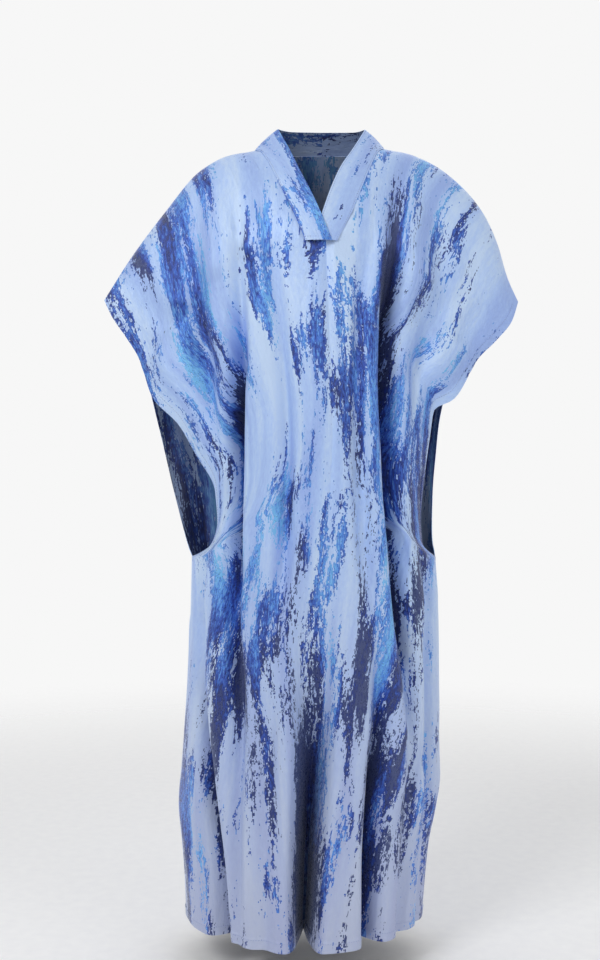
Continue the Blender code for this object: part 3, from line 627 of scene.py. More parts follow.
def through(table, at):
    """Values on a smooth curve through a table's rows, which never overshoots between two rows."""
    rows = np.array(table, float)
    knots, values = rows[:, 0], rows[:, 1:]
    at = np.clip(np.atleast_1d(np.asarray(at, float)), knots[0], knots[-1])
    step = np.diff(knots)[:, None]
    rise = np.diff(values, axis=0) / step
    slope = np.zeros_like(values)
    slope[0], slope[-1] = rise[0], rise[-1]
    before, after = 2 * step[1:] + step[:-1], step[1:] + 2 * step[:-1]
    same = rise[:-1] * rise[1:] > 0
    safe_in, safe_out = np.where(same, rise[:-1], 1.0), np.where(same, rise[1:], 1.0)
    slope[1:-1] = np.where(same, (before + after) / (before / safe_in + after / safe_out), 0.0)
    i = np.clip(np.searchsorted(knots, at, side="right") - 1, 0, len(knots) - 2)
    u = ((at - knots[i]) / (knots[i + 1] - knots[i]))[:, None]
    return (
        values[i] * (1 + 2 * u) * (1 - u) ** 2
        + slope[i] * step[i] * u * (1 - u) ** 2
        + values[i + 1] * u**2 * (3 - 2 * u)
        + slope[i + 1] * step[i] * u**2 * (u - 1)
    )


def lengths(points):
    """Distance along a line of points, from its first point."""
    return np.concatenate([[0.0], np.cumsum(np.linalg.norm(np.diff(points, axis=0), axis=1))])


def share_out(points, shares):
    """The points that lie at the given shares of a line's length."""
    along = lengths(points)
    at = np.asarray(shares) * along[-1]
    return np.stack([np.interp(at, along, points[:, k]) for k in range(3)], axis=1)


def base_row(centre, edge, share, s):
    """A row of cloth with no folds: from the centre round to the side edge, sinking towards the edge."""
    roundness = np.interp(share, [TOP_END, SLIT_END], ROUNDNESS)
    under_slit = np.interp(share, [UNDER_SLIT_START, SLIT_END], [0.0, 1.0])
    early = np.clip(s / SINK_REACH, 0, 1)
    across = (1 - roundness) * s + roundness * np.sin(math.pi * s / 2)
    back = 1 - np.cos(math.pi * s / 2)
    down = (1 - under_slit) * s**SINK_POWER + under_slit * early**2 * (3 - 2 * early)
    weights = np.stack([across, back, down], axis=1)
    return centre + (edge - centre) * weights


class Row:
    """One row of a half panel: its base curve, and how its folds sink into it."""

    def __init__(self, side, facing, share):
        centre_table = CENTRE_FRONT if facing < 0 else CENTRE_BACK
        self.cut = HALF_CLOTH
        centre = through(centre_table, share)[0]
        if facing < 0 and share < NECK_END:
            centre = through(NECKLINE[side], share)[0]
            self.cut -= NECK_HALF_CUT * (1 - (share / NECK_END) ** 2)
        s = np.linspace(0, 1, DENSE)
        self.base = base_row(centre, side_edge(side, facing, share), share, s)
        plan = self.base * [1, 1, 0]
        self.plan = lengths(plan)
        tangent = unit(np.gradient(plan, self.plan, axis=0))
        self.inward = np.stack([tangent[:, 1], -tangent[:, 0], 0 * s], axis=1) * side * facing
        self.inward[0] = [0.0, -facing, 0.0]
        centre_fold = FRONT_CENTRE_FOLD if facing < 0 else BACK_CENTRE_FOLD
        side_folds = FRONT_SIDE_FOLDS[side] if facing < 0 else BACK_SIDE_FOLDS[side]
        calm = 1 - np.exp(-(((self.plan[-1] - self.plan) / EDGE_CALM) ** 2))
        centre_calm = 1 - np.exp(-((self.plan / CENTRE_CALM) ** 2))
        self.fixed, bends = self.fold(centre_fold, side, share)
        self.fixed = self.fixed * calm
        self.marks = [0.0] + sorted(bends)[-3:]
        self.loose = np.zeros(DENSE)
        for name, stations in side_folds.items():
            hollow, bends = self.fold(stations, side, share)
            self.loose += hollow * calm * centre_calm
            steps = (1, 2)
            if name == "side_fold":
                bends = bends[:1] + bends[2:4] + bends[5:]
                steps = (1.5,)
            self.marks += [self.marks[-1] + (bends[0] - self.marks[-1]) * k / 3 for k in steps] + bends
        self.marks += [(self.marks[-1] + self.plan[-1]) / 2, self.plan[-1]]

    def fold(self, stations, side, share):
        """How far the base row sinks into one fold, and where along the row its crests, lips and floor lie."""
        x, floor, lip, depth = through(stations, share)[0]
        away = (x - self.base[0, 0]) * side
        middle = np.interp(away, (self.base[:, 0] - self.base[0, 0]) * side, self.plan) if away > 0 else away
        beside = self.plan - middle
        hollow = np.tanh((beside + floor) / lip) - np.tanh((beside - floor) / lip)
        outward = [max(floor + FLOOR * lip, LEAST_FLOOR * floor), floor + LIP * lip, floor + CREST * lip]
        bends = [middle - w for w in outward[::-1]] + [middle + w for w in outward]
        return depth * hollow / (2 * math.tanh(floor / lip)), bends

    def columns(self, fine):
        """Where the columns cross this row, along its base curve."""
        at = np.array(self.marks)
        count = len(at)
        least = min(LEAST_COLUMN, LEAST_COLUMN_SHARE * self.plan[-1] / count)
        at = np.maximum(at, least * np.arange(count))
        at[0] = 0.0
        for k in range(1, count):
            at[k] = max(at[k], at[k - 1] + least)
        at[-1] = self.plan[-1]
        for k in range(count - 2, -1, -1):
            at[k] = min(at[k], at[k + 1] - least)
        at[0] = 0.0
        steps = np.linspace(0, count - 1, (count - 1) * fine + 1)
        return np.interp(steps, np.arange(count), at)

    def sunk(self, strength):
        """The row as a dense line, with its side folds sunk by the given strength."""
        return self.base + self.inward * (self.fixed + strength * self.loose)[:, None]

    def needed(self):
        """The strength at which this row is as long as the cut is wide."""
        low, high = 0.0, 1.0
        for _ in range(HALVINGS):
            strength = (low + high) / 2
            if lengths(self.sunk(strength))[-1] < self.cut:
                low = strength
            else:
                high = strength
        return strength


def fold_strengths(side, facing):
    """A table of strengths down a half panel, smoothed so that the folds change evenly."""
    shares = np.linspace(TOP_END, 1, STRENGTH_ROWS)
    needed = np.array([Row(side, facing, share).needed() for share in shares])
    for _ in range(2):
        padded = np.concatenate([needed[:1], needed, needed[-1:]])
        needed = 0.25 * padded[:-2] + 0.5 * padded[1:-1] + 0.25 * padded[2:]
    return np.stack([shares, needed], axis=1)


def panel_row(side, facing, share, strengths, fine):
    """One row of points, and how far along the cloth each point lies from the centre."""
    row = Row(side, facing, share)
    line = row.sunk(through(strengths, share)[0, 0])
    at = row.columns(fine)
    points = np.stack([np.interp(at, row.plan, line[:, k]) for k in range(3)], axis=1)
    return points, np.interp(at, row.plan, lengths(line))


def neck_gap(side, facing, share):
    """How far a front's neckline lies from the centre front."""
    if facing > 0 or share >= NECK_END:
        return 0.0
    return abs(through(NECKLINE[side], share)[0, 0] - NECKLINE[side][-1][1])


def fold_places(side, facing, shares, fine):
    """How deep in its folds each point of a half panel lies, and how far it is from the centre as a share."""
    strengths = fold_strengths(side, facing)
    depths, places = [], []
    for share in shares:
        row = Row(side, facing, max(share, TOP_END))
        hollow = row.fixed + through(strengths, share)[0, 0] * row.loose
        at = row.columns(fine)
        depths.append(np.interp(at, row.plan, hollow))
        gap = neck_gap(side, facing, share)
        places.append((gap + at) / (gap + row.plan[-1]))
    return np.array(depths), np.array(places)


def side_edge(side, facing, share):
    """Where a row meets the panel's side edge."""
    if share >= SLIT_END:
        return through(SIDE_SEAM[side], share)[0]
    return through((FRONT_SLIT if facing < 0 else BACK_SLIT)[side], share)[0]


def top_line(side, facing, along, fine):
    """The panel's upper edge at the next row's columns: shoulder line, after half the neckline on the back."""
    line = through(SHOULDER[side], np.linspace(0, 1, DENSE))
    shares = along / along[-1]
    neck_column = 0
    if facing > 0:
        neck = back_neckline(side)
        line = np.concatenate([neck[:-1], line])
        corner = lengths(neck)[-1] / lengths(line)[-1]
        neck_column = fine * int(round(np.argmin(abs(shares[::fine] - corner))))
        at = shares[neck_column]
        before = shares * corner / at
        after = corner + (shares - at) * (1 - corner) / (1 - at)
        shares = np.where(np.arange(len(shares)) <= neck_column, before, after)
    return share_out(line, shares), neck_column


def back_neckline(side):
    """From the centre back to the neck point, a quarter of an oval."""
    turn = np.linspace(0, math.pi / 2, NECK_STEPS)
    middle = np.array(CENTRE_BACK[0][1:])
    point = np.array(SHOULDER[side][0][1:])
    return np.stack(
        [
            middle[0] + (point[0] - middle[0]) * np.sin(turn),
            point[1] + (middle[1] - point[1]) * np.cos(turn),
            point[2] + (middle[2] - point[2]) * np.cos(turn) ** 2,
        ],
        axis=1,
    )


def half_panel(side, facing, shares, fine):
    """Outer points of a half panel, rows down and columns from centre to edge. facing is -1 for a front."""
    strengths = fold_strengths(side, facing)
    end, along = panel_row(side, facing, TOP_END, strengths, fine)
    below, _ = panel_row(side, facing, TOP_END + LEAVE_STEP, strengths, fine)
    start, neck_column = top_line(side, facing, along, fine)
    leave = (below - end) / LEAVE_STEP * TOP_END
    reach = np.linalg.norm(end - start, axis=1)
    direction = np.zeros_like(start)
    direction[:, 1] = facing
    if facing > 0:
        on_neck = np.clip(1 - np.arange(len(along)) / neck_column, 0, 1)[:, None]
        direction[:, 2] = BACK_SHOULDER_FALL
        direction = direction * (1 - on_neck) + np.array(NECK_FALL) * on_neck
    start_pull = direction * reach[:, None] * SHOULDER_PULL
    end_pull = leave * (reach / np.linalg.norm(leave, axis=1))[:, None]
    centre_table = NECKLINE[side] if facing < 0 else CENTRE_BACK
    part = along / along[-1]
    grid = []
    for share in shares:
        if share >= TOP_END - SAME_SHARE:
            grid.append(panel_row(side, facing, share, strengths, fine)[0])
            continue
        u = share / TOP_END
        row = (
            start * (1 + 2 * u) * (1 - u) ** 2
            + start_pull * u * (1 - u) ** 2
            + end * u**2 * (3 - 2 * u)
            + end_pull * u**2 * (u - 1)
        )
        row += (side_edge(side, facing, share) - row[-1]) * part[:, None] ** EDGE_HOLD
        near_centre = np.clip(1 - part[:, None] / CENTRE_HOLD, 0, 1) ** 2
        row += (through(centre_table, share)[0] - row[0]) * near_centre
        grid.append(row)
    return np.array(grid), neck_column


def unit(vectors):
    return vectors / np.linalg.norm(vectors, axis=-1, keepdims=True)


def run(grid, axis):
    """Directions along a grid's lines, each the middle of the two steps that meet there."""
    steps = unit(np.diff(grid, axis=axis))
    first, last = np.take(steps, [0], axis), np.take(steps, [-1], axis)
    return np.concatenate([first, steps], axis) + np.concatenate([steps, last], axis)


def grid_normals(grid, inside):
    """Wall directions at a grid of points, toward the inside, longer where the cloth bends."""
    down, across = run(grid, 0), run(grid, 1)
    bend = np.clip(np.linalg.norm(across, axis=-1, keepdims=True) / 2, TIGHTEST_BEND, 1)
    normal = unit(np.cross(down, across))
    return normal * np.sign((normal * inside).sum()) / bend


def toward_inside(grid, facing):
    """Rough inward directions: to the robe's middle, and down under the shoulders."""
    inside = np.zeros_like(grid)
    inside[..., 0] = -MIDDLE_PULL[0] * grid[..., 0]
    inside[..., 1] = -facing * MIDDLE_PULL[1]
    inside[:SHOULDER_ROWS, :, 2] = -1.0
    return inside


def across_seam(line, axis, inside):
    """The direction of the wall at a seam, square to the seam line and to the given axis."""
    normal = unit(np.cross(np.gradient(line, axis=0), axis))
    return normal * np.sign((normal * inside).sum(axis=-1, keepdims=True))


def panel_walls(side, facing, shares, fine):
    """Outer points, inward wall directions and neck column of a half panel."""
    outer, neck_column = half_panel(side, facing, shares, fine)
    inside = toward_inside(outer, facing)
    normal = grid_normals(outer, inside)
    y_axis, x_axis = np.array([0.0, 1.0, 0.0]), np.array([1.0, 0.0, 0.0])
    seam = np.asarray(shares) >= SLIT_END
    normal[seam, -1] = across_seam(outer[:, -1], y_axis, np.array([-side, 0, 0]))[seam]
    shoulder_wall = across_seam(outer[0], y_axis, np.array([0, 0, -1.0]))
    if facing < 0:
        normal[0] = shoulder_wall
        joined = np.asarray(shares) >= NECK_END - SAME_SHARE
        normal[joined, 0] = across_seam(outer[:, 0], x_axis, np.array([0, 1.0, 0]))[joined]
    else:
        normal[0, neck_column:] = shoulder_wall[neck_column:]
    return outer, normal, neck_column


def band_grid(side, fine):
    """Outer points and wall directions of half the neck band, from its front end to the centre back."""
    low_start = BAND_LOW_EDGE[side][0][0]
    shares = fine_steps(ROWS[ROWS < low_start], fine)
    front, front_wall, _ = panel_walls(side, -1, np.append(shares, [low_start, NECK_END]), fine)
    back, back_wall, neck_column = panel_walls(side, 1, BAND_NECK_ROWS, fine)
    lift = WALL + BAND_SEAM_GAP
    count = len(shares)
    on_front = (front[:, 0] - front_wall[:, 0] * lift)[:count]
    on_back = (back[0] - back_wall[0] * lift)[:neck_column]
    on_front[0] = (front[0, 0] + back[0, neck_column]) / 2 + [0, 0, lift]
    low_shares = fine_steps(np.array([row[0] for row in BAND_LOW_EDGE[side]]), fine)
    low = through(BAND_LOW_EDGE[side], low_shares)
    behind = lengths(np.concatenate([on_front[:1], on_back[::-1]]))[1:]
    stations = np.concatenate([low_shares[::-1], shares[::-1], BAND_BACK_SHARE * behind / behind[-1]])
    sewn = np.concatenate([low[::-1], on_front[::-1], on_back[::-1]])
    free = through(BAND_FREE_EDGE[side], stations)
    v = np.linspace(0, 1, BAND_ROWS * fine + 1)[:, None, None]
    outer = sewn[None] * (1 - v) + free[None] * v
    inside = np.array(NECK_MIDDLE) - outer
    normal = grid_normals(outer, inside)
    outer = outer - normal * v * (1 - v) * BAND_CURVE
    normal[:, -1] = across_seam(outer[:, -1], np.array([1.0, 0, 0]), np.array([0, -1.0, 0]))
    outer[:, -1, 0] = BAND_FREE_EDGE[side][0][1]
    return outer, normal


def fine_steps(values, fine):
    """The values with finer steps put evenly between each two."""
    last = len(values) - 1
    return np.interp(np.linspace(0, last, last * fine + 1), np.arange(last + 1), values)


def crease_field(u, y, creases):
    """How far the cloth sinks at each point of a grid, from the listed creases on the flat cloth."""
    sunk = np.zeros_like(u)
    for u0, y0, u1, y1, bow, width, depth in creases:
        du, dy = u1 - u0, y1 - y0
        length = math.hypot(du, dy)
        t = ((u - u0) * du + (y - y0) * dy) / length**2
        off = ((u - u0) * dy - (y - y0) * du) / length - bow * 4 * t * (1 - t)
        inside = np.clip(t, 0, 1)
        taper = np.sin(math.pi * inside) ** CREASE_FADE * ((t > 0) & (t < 1))
        spread = width * (CREASE_SPREAD[0] + CREASE_SPREAD[1] * inside)
        side_width = np.where(off > 0, 1.0, CREASE_WIDE_SIDE)
        sunk += depth * taper * np.exp(-((off / (spread * side_width)) ** 2))
    return sunk


def ripple_field(u, y, turn):
    """A slight unevenness all over the cloth, from a few long waves that don't repeat together."""
    waves = 0.0
    for k, (across, down, size) in enumerate(RIPPLES):
        bend = RIPPLE_BEND * np.sin(down * y + turn + k)
        waves = waves + size * np.sin(across * u + bend + RIPPLE_APART * k + turn)
    return waves


def threads(side, facing, u, places, shares):
    """Which thread of the cut each point lies on, evened out down the panel so that strokes don't kink."""
    gap = np.array([[neck_gap(side, facing, share)] for share in shares])
    cut = gap + u / u[:, -1:] * (HALF_CLOTH - gap)
    even = np.linspace(0, 1, THREAD_STATIONS)
    level = np.array([np.interp(even, place, row) for place, row in zip(places, cut)])
    reach = np.interp(shares, THREAD_REACH_AT, THREAD_REACH)
    apart = (shares[:, None] - shares[None]) * CLOTH_LENGTH / reach[:, None]
    weight = np.exp(-(apart**2)) * np.gradient(shares)[None]
    level = weight @ level / weight.sum(axis=1, keepdims=True)
    return np.array([np.interp(place, even, row) for place, row in zip(places, level)])


def scene_shares():
    """Rows of the shown cloth: the solid's rows made finer, and closer ones at the hem."""
    shares = np.concatenate([fine_steps(ROWS, FINE), 1 - np.array(HEM_ROWS) / CLOTH_LENGTH])
    return np.unique(shares.round(6))


def dress(side, facing, outer, wall):
    """Adds creases, seam dips and turned hems to a half panel. Returns points, cloth coordinates, fold depths."""
    shares = scene_shares()
    u = np.array([lengths(row) for row in outer])
    y = np.repeat(shares[:, None] * CLOTH_LENGTH, outer.shape[1], axis=1)
    creases = (FRONT_CREASES if facing < 0 else BACK_CREASES)[side]
    to_edge = u[:, -1:] - u
    free = shares < SLIT_END - SLIT_FREE
    calm = 1 - np.exp(-((u / SEAM_CALM) ** 2))
    calm *= np.where(free[:, None], 1.0, 1 - np.exp(-((to_edge / SEAM_CALM) ** 2)))
    calm *= 1 - np.exp(-((y / TOP_CALM) ** 2))
    below_slit = y - SLIT_END * CLOTH_LENGTH
    near_slit_foot = np.exp(-((below_slit / SLIT_FOOT_CALM[0]) ** 2))
    near_slit_foot *= np.exp(-((to_edge / SLIT_FOOT_CALM[1]) ** 2))
    calm *= 1 - near_slit_foot
    deep, places = fold_places(side, facing, shares, FINE)
    sunk = crease_field(u, y, creases) / (1 + (deep / FOLD_CALM) ** 2)
    sunk += ripple_field(u, y, RIPPLE_SIDE * side + facing)
    sunk *= calm
    hem = 1 / (1 + np.exp(-(HEM_WIDTH - (CLOTH_LENGTH - y)) / HEM_SHARP))
    slit = 1 / (1 + np.exp(-(HEM_WIDTH - to_edge) / SLIT_HEM_SHARP))
    slit *= np.clip(-below_slit / SEAM_SET_IN, 0, 1)
    sunk -= HEM_STEP * np.maximum(hem, slit * np.clip(y / HEM_SET_IN, 0, 1))
    below = np.clip(below_slit / SEAM_SET_IN, 0, 1)
    dip = np.exp(-((to_edge / SEAM_DIP_WIDTH) ** 2)) * below
    if facing < 0:
        joined = np.clip((y - NECK_END * CLOTH_LENGTH) / SEAM_SET_IN, 0, 1)
        dip += np.exp(-((u / SEAM_DIP_WIDTH) ** 2)) * joined
    sunk += SEAM_DIP * dip
    aside = 0.0 if facing < 0 else BACK_CUT_ASIDE
    across = threads(side, facing, u, places, shares) * side + aside
    return outer + wall * sunk[..., None], np.stack([across, y], axis=-1), deep


def cloth_mesh(name, outer, wall, uv, deep, materials):
    """A closed thin shell: outer points, the same points moved in by the thickness, and a rim between them."""
    inner = outer + wall * WALL
    rows, columns = outer.shape[:2]
    count = rows * columns
    index = np.arange(count).reshape(rows, columns)
    around = [index[:-1, :-1], index[:-1, 1:], index[1:, 1:], index[1:, :-1]]
    quads = np.stack(around, axis=-1).reshape(-1, 4)
    rim = np.concatenate([index[0, :-1], index[:-1, -1], index[-1, :0:-1], index[:0:-1, 0]])
    ahead = np.roll(rim, -1)
    sides = np.stack([ahead, rim, rim + count, ahead + count], axis=-1)
    faces = np.concatenate([quads, quads[:, ::-1] + count, sides])
    points = np.concatenate([outer.reshape(-1, 3), inner.reshape(-1, 3)])
    mesh = bpy.data.meshes.new(name)
    mesh.from_pydata(points.tolist(), [], faces.tolist())
    corners = points[quads]
    volume = np.einsum("ij,ij->i", corners[:, 0], np.cross(corners[:, 1], corners[:, 2])).sum()
    under = inner.reshape(-1, 3)[quads]
    volume -= np.einsum("ij,ij->i", under[:, 0], np.cross(under[:, 1], under[:, 2])).sum()
    if volume < 0:
        mesh.flip_normals()
    shade = mesh.attributes.new(FOLD_SHADE, "FLOAT", "POINT")
    shade.data.foreach_set("value", np.tile(deep.reshape(-1), 2).astype(np.float32))
    layer = mesh.uv_layers.new(name=CLOTH_UV)
    flat = np.tile(uv.reshape(-1, 2), (2, 1))
    corner_points = np.zeros(len(mesh.loops), int)
    mesh.loops.foreach_get("vertex_index", corner_points)
    layer.data.foreach_set("uv", flat[corner_points].astype(np.float32).ravel())
    for material in materials:
        mesh.materials.append(material)
    slots = np.zeros(len(faces), int)
    slots[len(quads) : 2 * len(quads)] = 1
    mesh.polygons.foreach_set("material_index", slots)
    mesh.shade_smooth()
    mesh.set_sharp_from_angle(angle=math.radians(SHARP_ANGLE))
    return link(name, mesh)


def link(name, mesh):
    piece = bpy.data.objects.new(name, mesh)
    bpy.context.scene.collection.objects.link(piece)
    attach(piece, "root")
    return piece


def at_length(line, along, at):
    return np.stack([np.interp(at, along, line[:, k]) for k in range(line.shape[1])], axis=1)


def stitches(name, lines, material):
    """Rows of short thread stitches. Each line is its points on the cloth and the outward directions there."""
    rings, made = [], 0
    turn = np.arange(STITCH_SIDES) * 2 * math.pi / STITCH_SIDES
    for points, outward in lines:
        along = lengths(points)
        count = int(along[-1] / STITCH_PITCH)
        starts = (np.arange(count) + STITCH_START) * along[-1] / count
        middle = at_length(unit(outward), along, starts + STITCH_LENGTH / 2)
        ends = [at_length(points, along, starts + STITCH_LENGTH * share) for share in STITCH_SHARES]
        forward = unit(ends[-1] - ends[0])
        up = unit(middle - forward * (forward * middle).sum(1, keepdims=True))
        beside = np.cross(forward, up)
        for centre, thick, lift in zip(ends, STITCH_THICK, STITCH_LIFT):
            centre = centre + up * lift * STITCH_RADIUS
            ring = beside[:, None] * np.cos(turn)[:, None] + up[:, None] * np.sin(turn)[:, None]
            rings.append(centre[:, None] + ring * thick * STITCH_RADIUS)
        made += count
    blocks = []
    step = len(STITCH_SHARES)
    for k in range(0, len(rings), step):
        blocks.append(np.stack(rings[k : k + step], axis=1))
    tubes = np.concatenate(blocks)
    size = step * STITCH_SIDES
    faces = []
    for ring in range(step - 1):
        for side in range(STITCH_SIDES):
            a, b = ring * STITCH_SIDES + side, ring * STITCH_SIDES + (side + 1) % STITCH_SIDES
            faces.append([b, a, a + STITCH_SIDES, b + STITCH_SIDES])
    quads = np.array(faces)[None] + (np.arange(made) * size)[:, None, None]
    caps = np.stack([np.arange(STITCH_SIDES), np.arange(STITCH_SIDES)[::-1] + size - STITCH_SIDES])
    caps = caps[None] + (np.arange(made) * size)[:, None, None]
    mesh = bpy.data.meshes.new(name)
    closed = quads.reshape(-1, 4).tolist() + caps.reshape(-1, STITCH_SIDES).tolist()
    mesh.from_pydata(tubes.reshape(-1, 3).tolist(), [], closed)
    mesh.materials.append(material)
    mesh.shade_smooth()
    return link(name, mesh)


def line_at_edge(outer, wall, u, shares, inset, start, end):
    """A line down a half panel that keeps its distance from the side edge."""
    rows = [i for i, share in enumerate(shares) if start <= share <= end]
    points = [at_length(outer[i], u[i], [u[i][-1] - inset])[0] for i in rows]
    outward = [-at_length(wall[i], u[i], [u[i][-1] - inset])[0] for i in rows]
    return np.array(points), np.array(outward)


# Materials
def paint(code):
    """A colour for a shader from its usual six-figure code."""
    parts = [int(code[k : k + 2], 16) / 255 for k in (1, 3, 5)]
    return tuple(c / 12.92 if c <= 0.04045 else ((c + 0.055) / 1.055) ** 2.4 for c in parts) + (1.0,)


class Shader:
    """A material's nodes, with short names for the few kinds that are used here."""

    def __init__(self, name):
        self.material = bpy.data.materials.new(name)
        self.material.use_nodes = True
        self.tree = self.material.node_tree
        self.surface = self.tree.nodes["Principled BSDF"]

    def add(self, kind, inputs=(), **settings):
        node = self.tree.nodes.new(kind)
        for name, value in settings.items():
            setattr(node, name, value)
        for key, value in dict(inputs).items():
            if isinstance(value, bpy.types.NodeSocket):
                self.tree.links.new(value, node.inputs[key])
            else:
                node.inputs[key].default_value = value
        return node

    def math(self, operation, a, b=0.0):
        return self.add("ShaderNodeMath", {0: a, 1: b}, operation=operation).outputs[0]

    def total(self, *weighted):
        result = 0.0
        for value, weight in weighted:
            inputs = {0: value, 1: weight, 2: result}
            result = self.add("ShaderNodeMath", inputs, operation="MULTIPLY_ADD").outputs[0]
        return result

    def noise(self, name, at, shift):
        """One of the brocade's layers of noise, at the given coordinates."""
        across, down, aside, detail, rough = NOISES[name]
        moved = (shift + aside, SHIFT_DOWN * (shift + aside), 0)
        placed = self.add(
            "ShaderNodeMapping", {"Vector": at, "Location": moved, "Scale": (across, down, 1)}
        )
        noise = self.add(
            "ShaderNodeTexNoise",
            {"Vector": placed.outputs[0], "Scale": 1.0, "Detail": detail, "Roughness": rough},
            noise_dimensions="2D",
        )
        return noise.outputs[0]

    def ribs(self, at, across, down, direction):
        placed = self.add("ShaderNodeMapping", {"Vector": at, "Scale": (across, down, 0)})
        inputs = {"Vector": placed.outputs[0], "Scale": 1.0}
        return self.add("ShaderNodeTexWave", inputs, bands_direction=direction).outputs[1]

    def step(self, value, low, high, smooth=True):
        return self.add(
            "ShaderNodeMapRange",
            {"Value": value, "From Min": low, "From Max": high},
            interpolation_type="SMOOTHSTEP" if smooth else "LINEAR",
        ).outputs[0]

    def ramp(self, value, stops):
        node = self.add("ShaderNodeValToRGB", {0: value})
        elements = node.color_ramp.elements
        while len(elements) < len(stops):
            elements.new(0.5)
        for element, (place, colour) in zip(elements, stops):
            element.position = place
            element.color = paint(colour)
        return node.outputs[0]

    def mix(self, share, a, b, blend="MIX"):
        node = self.add("ShaderNodeMix", {0: share, 6: a, 7: b}, data_type="RGBA", blend_type=blend)
        return node.outputs[2]

    def set(self, **values):
        for name, value in values.items():
            socket = self.surface.inputs[name.replace("_", " ")]
            if isinstance(value, bpy.types.NodeSocket):
                self.tree.links.new(value, socket)
            else:
                socket.default_value = value


def brocade(name, shift, reverse=False, edge_strip=None, bare=0.0):
    """Jacquard with ragged brush strokes along the warp. shift moves the pattern, bare thins its strokes out,
    and reverse is the duller inner face, its colour painted darker as painted shade inside the robe."""
    shader = Shader(name)
    uv = shader.add("ShaderNodeUVMap", uv_map=CLOTH_UV).outputs[0]
    sway = shader.noise("sway", uv, shift)
    lean = shader.add("ShaderNodeCombineXYZ", {"X": shader.math("MULTIPLY", sway, STROKE_SWAY)})
    at = shader.add("ShaderNodeVectorMath", {0: uv, 1: lean.outputs[0]}, operation="ADD").outputs[0]
    y = shader.add("ShaderNodeSeparateXYZ", {0: uv}).outputs[1]
    woven = shader.add("ShaderNodeVectorMath", {0: at, 1: THREAD_STEP}, operation="SNAP").outputs[0]
    clusters = shader.noise("clusters", at, shift)
    strokes = shader.noise("strokes", at, shift)
    ragged = shader.noise("ragged", woven, shift)
    dots = shader.add("ShaderNodeTexWhiteNoise", {"Vector": woven}, noise_dimensions="2D").outputs["Value"]
    glint_filaments = shader.noise("glint_filaments", at, shift)
    fold = shader.add("ShaderNodeAttribute", attribute_name=FOLD_SHADE).outputs["Fac"]
    # Painted shade: deep folds get more strokes here, and a darker stroke tone below
    shade_strokes_in_fold = shader.step(fold, PAINTED_SHADE_STROKES[0], PAINTED_SHADE_STROKES[1])
    parts = [(clusters, 0.8), (strokes, 1.0), (ragged, 0.45), (dots, 0.09), (shade_strokes_in_fold, PAINTED_SHADE_STROKES[2])]
    field = shader.total(*parts, (1.0, -bare))
    if edge_strip:
        across = shader.add("ShaderNodeSeparateXYZ", {0: uv}).outputs[0]
        from_edge = shader.total((across, 1.0), (y, edge_strip[1]))
        strip = shader.step(from_edge, edge_strip[0], edge_strip[0] + STRIP_BLUR)
        field = shader.total((strip, STRIP_STROKES), (field, 1.0))
    mask = shader.step(field, STROKE_LEVEL, STROKE_LEVEL + STROKE_BLUR)
    # The strokes' tone falls towards the hem as painted shade low on the robe
    tone = shader.total(
        (shader.noise("tone", at, shift), 1.0),
        (ragged, 0.35),
        (y, -0.075),
        (shade_strokes_in_fold, -0.12),
        (1.0, -0.115),
    )
    stroke = shader.ramp(tone, STROKE_COLOURS)
    pale = shader.total((shader.noise("pale", at, shift), 1.0), (ragged, 0.25), (1.0, -0.125))
    ground = shader.ramp(pale, GROUND_COLOURS)
    # Painted shade: the ground turns greyer towards the hem
    painted_low_shade = shader.mix(LOW_SHADE, ground, paint(LOW_SHADE_COLOUR))
    ground = shader.mix(shader.step(y, LOW_SHADE_AT[0], LOW_SHADE_AT[1], False), ground, painted_low_shade)
    # Painted highlight: pale cyan glint flecks along fine filaments in the brighter strokes
    painted_glint = shader.math("MULTIPLY", shader.step(glint_filaments, 0.54, 0.62), shader.step(tone, 0.47, 0.60))
    stroke = shader.mix(shader.math("MULTIPLY", painted_glint, PAINTED_GLINT), stroke, paint(PAINTED_GLINT_COLOUR))
    colour = shader.mix(mask, ground, stroke)
    # Painted shade: the colour is darkened toward navy where the cloth lies deep in a fold
    painted_fold_shade = shader.math("MULTIPLY", shader.step(fold, PAINTED_FOLD_SHADE[0], PAINTED_FOLD_SHADE[1]), PAINTED_FOLD_SHADE[2])
    colour = shader.mix(painted_fold_shade, colour, paint(PAINTED_FOLD_SHADE_COLOUR), "MULTIPLY")
    # Painted shade: the inner face's colour is multiplied darker
    if reverse:
        colour = shader.mix(REVERSE_SHADE, colour, paint(REVERSE_SHADE_COLOUR), "MULTIPLY")
    weft = shader.ribs(uv, 0, RIBS, "Y")
    warp = shader.ribs(uv, RIBS * WARP_RIBS, 0, "X")
    crinkle = shader.noise("crinkle", at, shift)
    cockle = shader.noise("cockle", uv, shift)
    height = shader.total((crinkle, 1.0), (cockle, 0.9), (ragged, 0.5), (mask, 0.16), (weft, 0.10), (warp, 0.08))
    bump = shader.add("ShaderNodeBump", {"Height": height, "Strength": BUMP[0], "Distance": BUMP[1]})
    shine = shader.math("MULTIPLY", mask, 0.22)
    shader.set(
        Base_Color=colour,
        Metallic=shader.math("ADD", shine, 0.05 if reverse else 0.14),
        Roughness=shader.total((dots, 0.25), (ragged, 0.2), (mask, -0.08), (1.0, 0.30 if reverse else 0.22)),
        Normal=bump.outputs[0],
        Sheen_Weight=0.12 if reverse else 0.3,
        Sheen_Roughness=0.4,
        Sheen_Tint=paint(SHEEN_COLOUR),
    )
    return shader.material


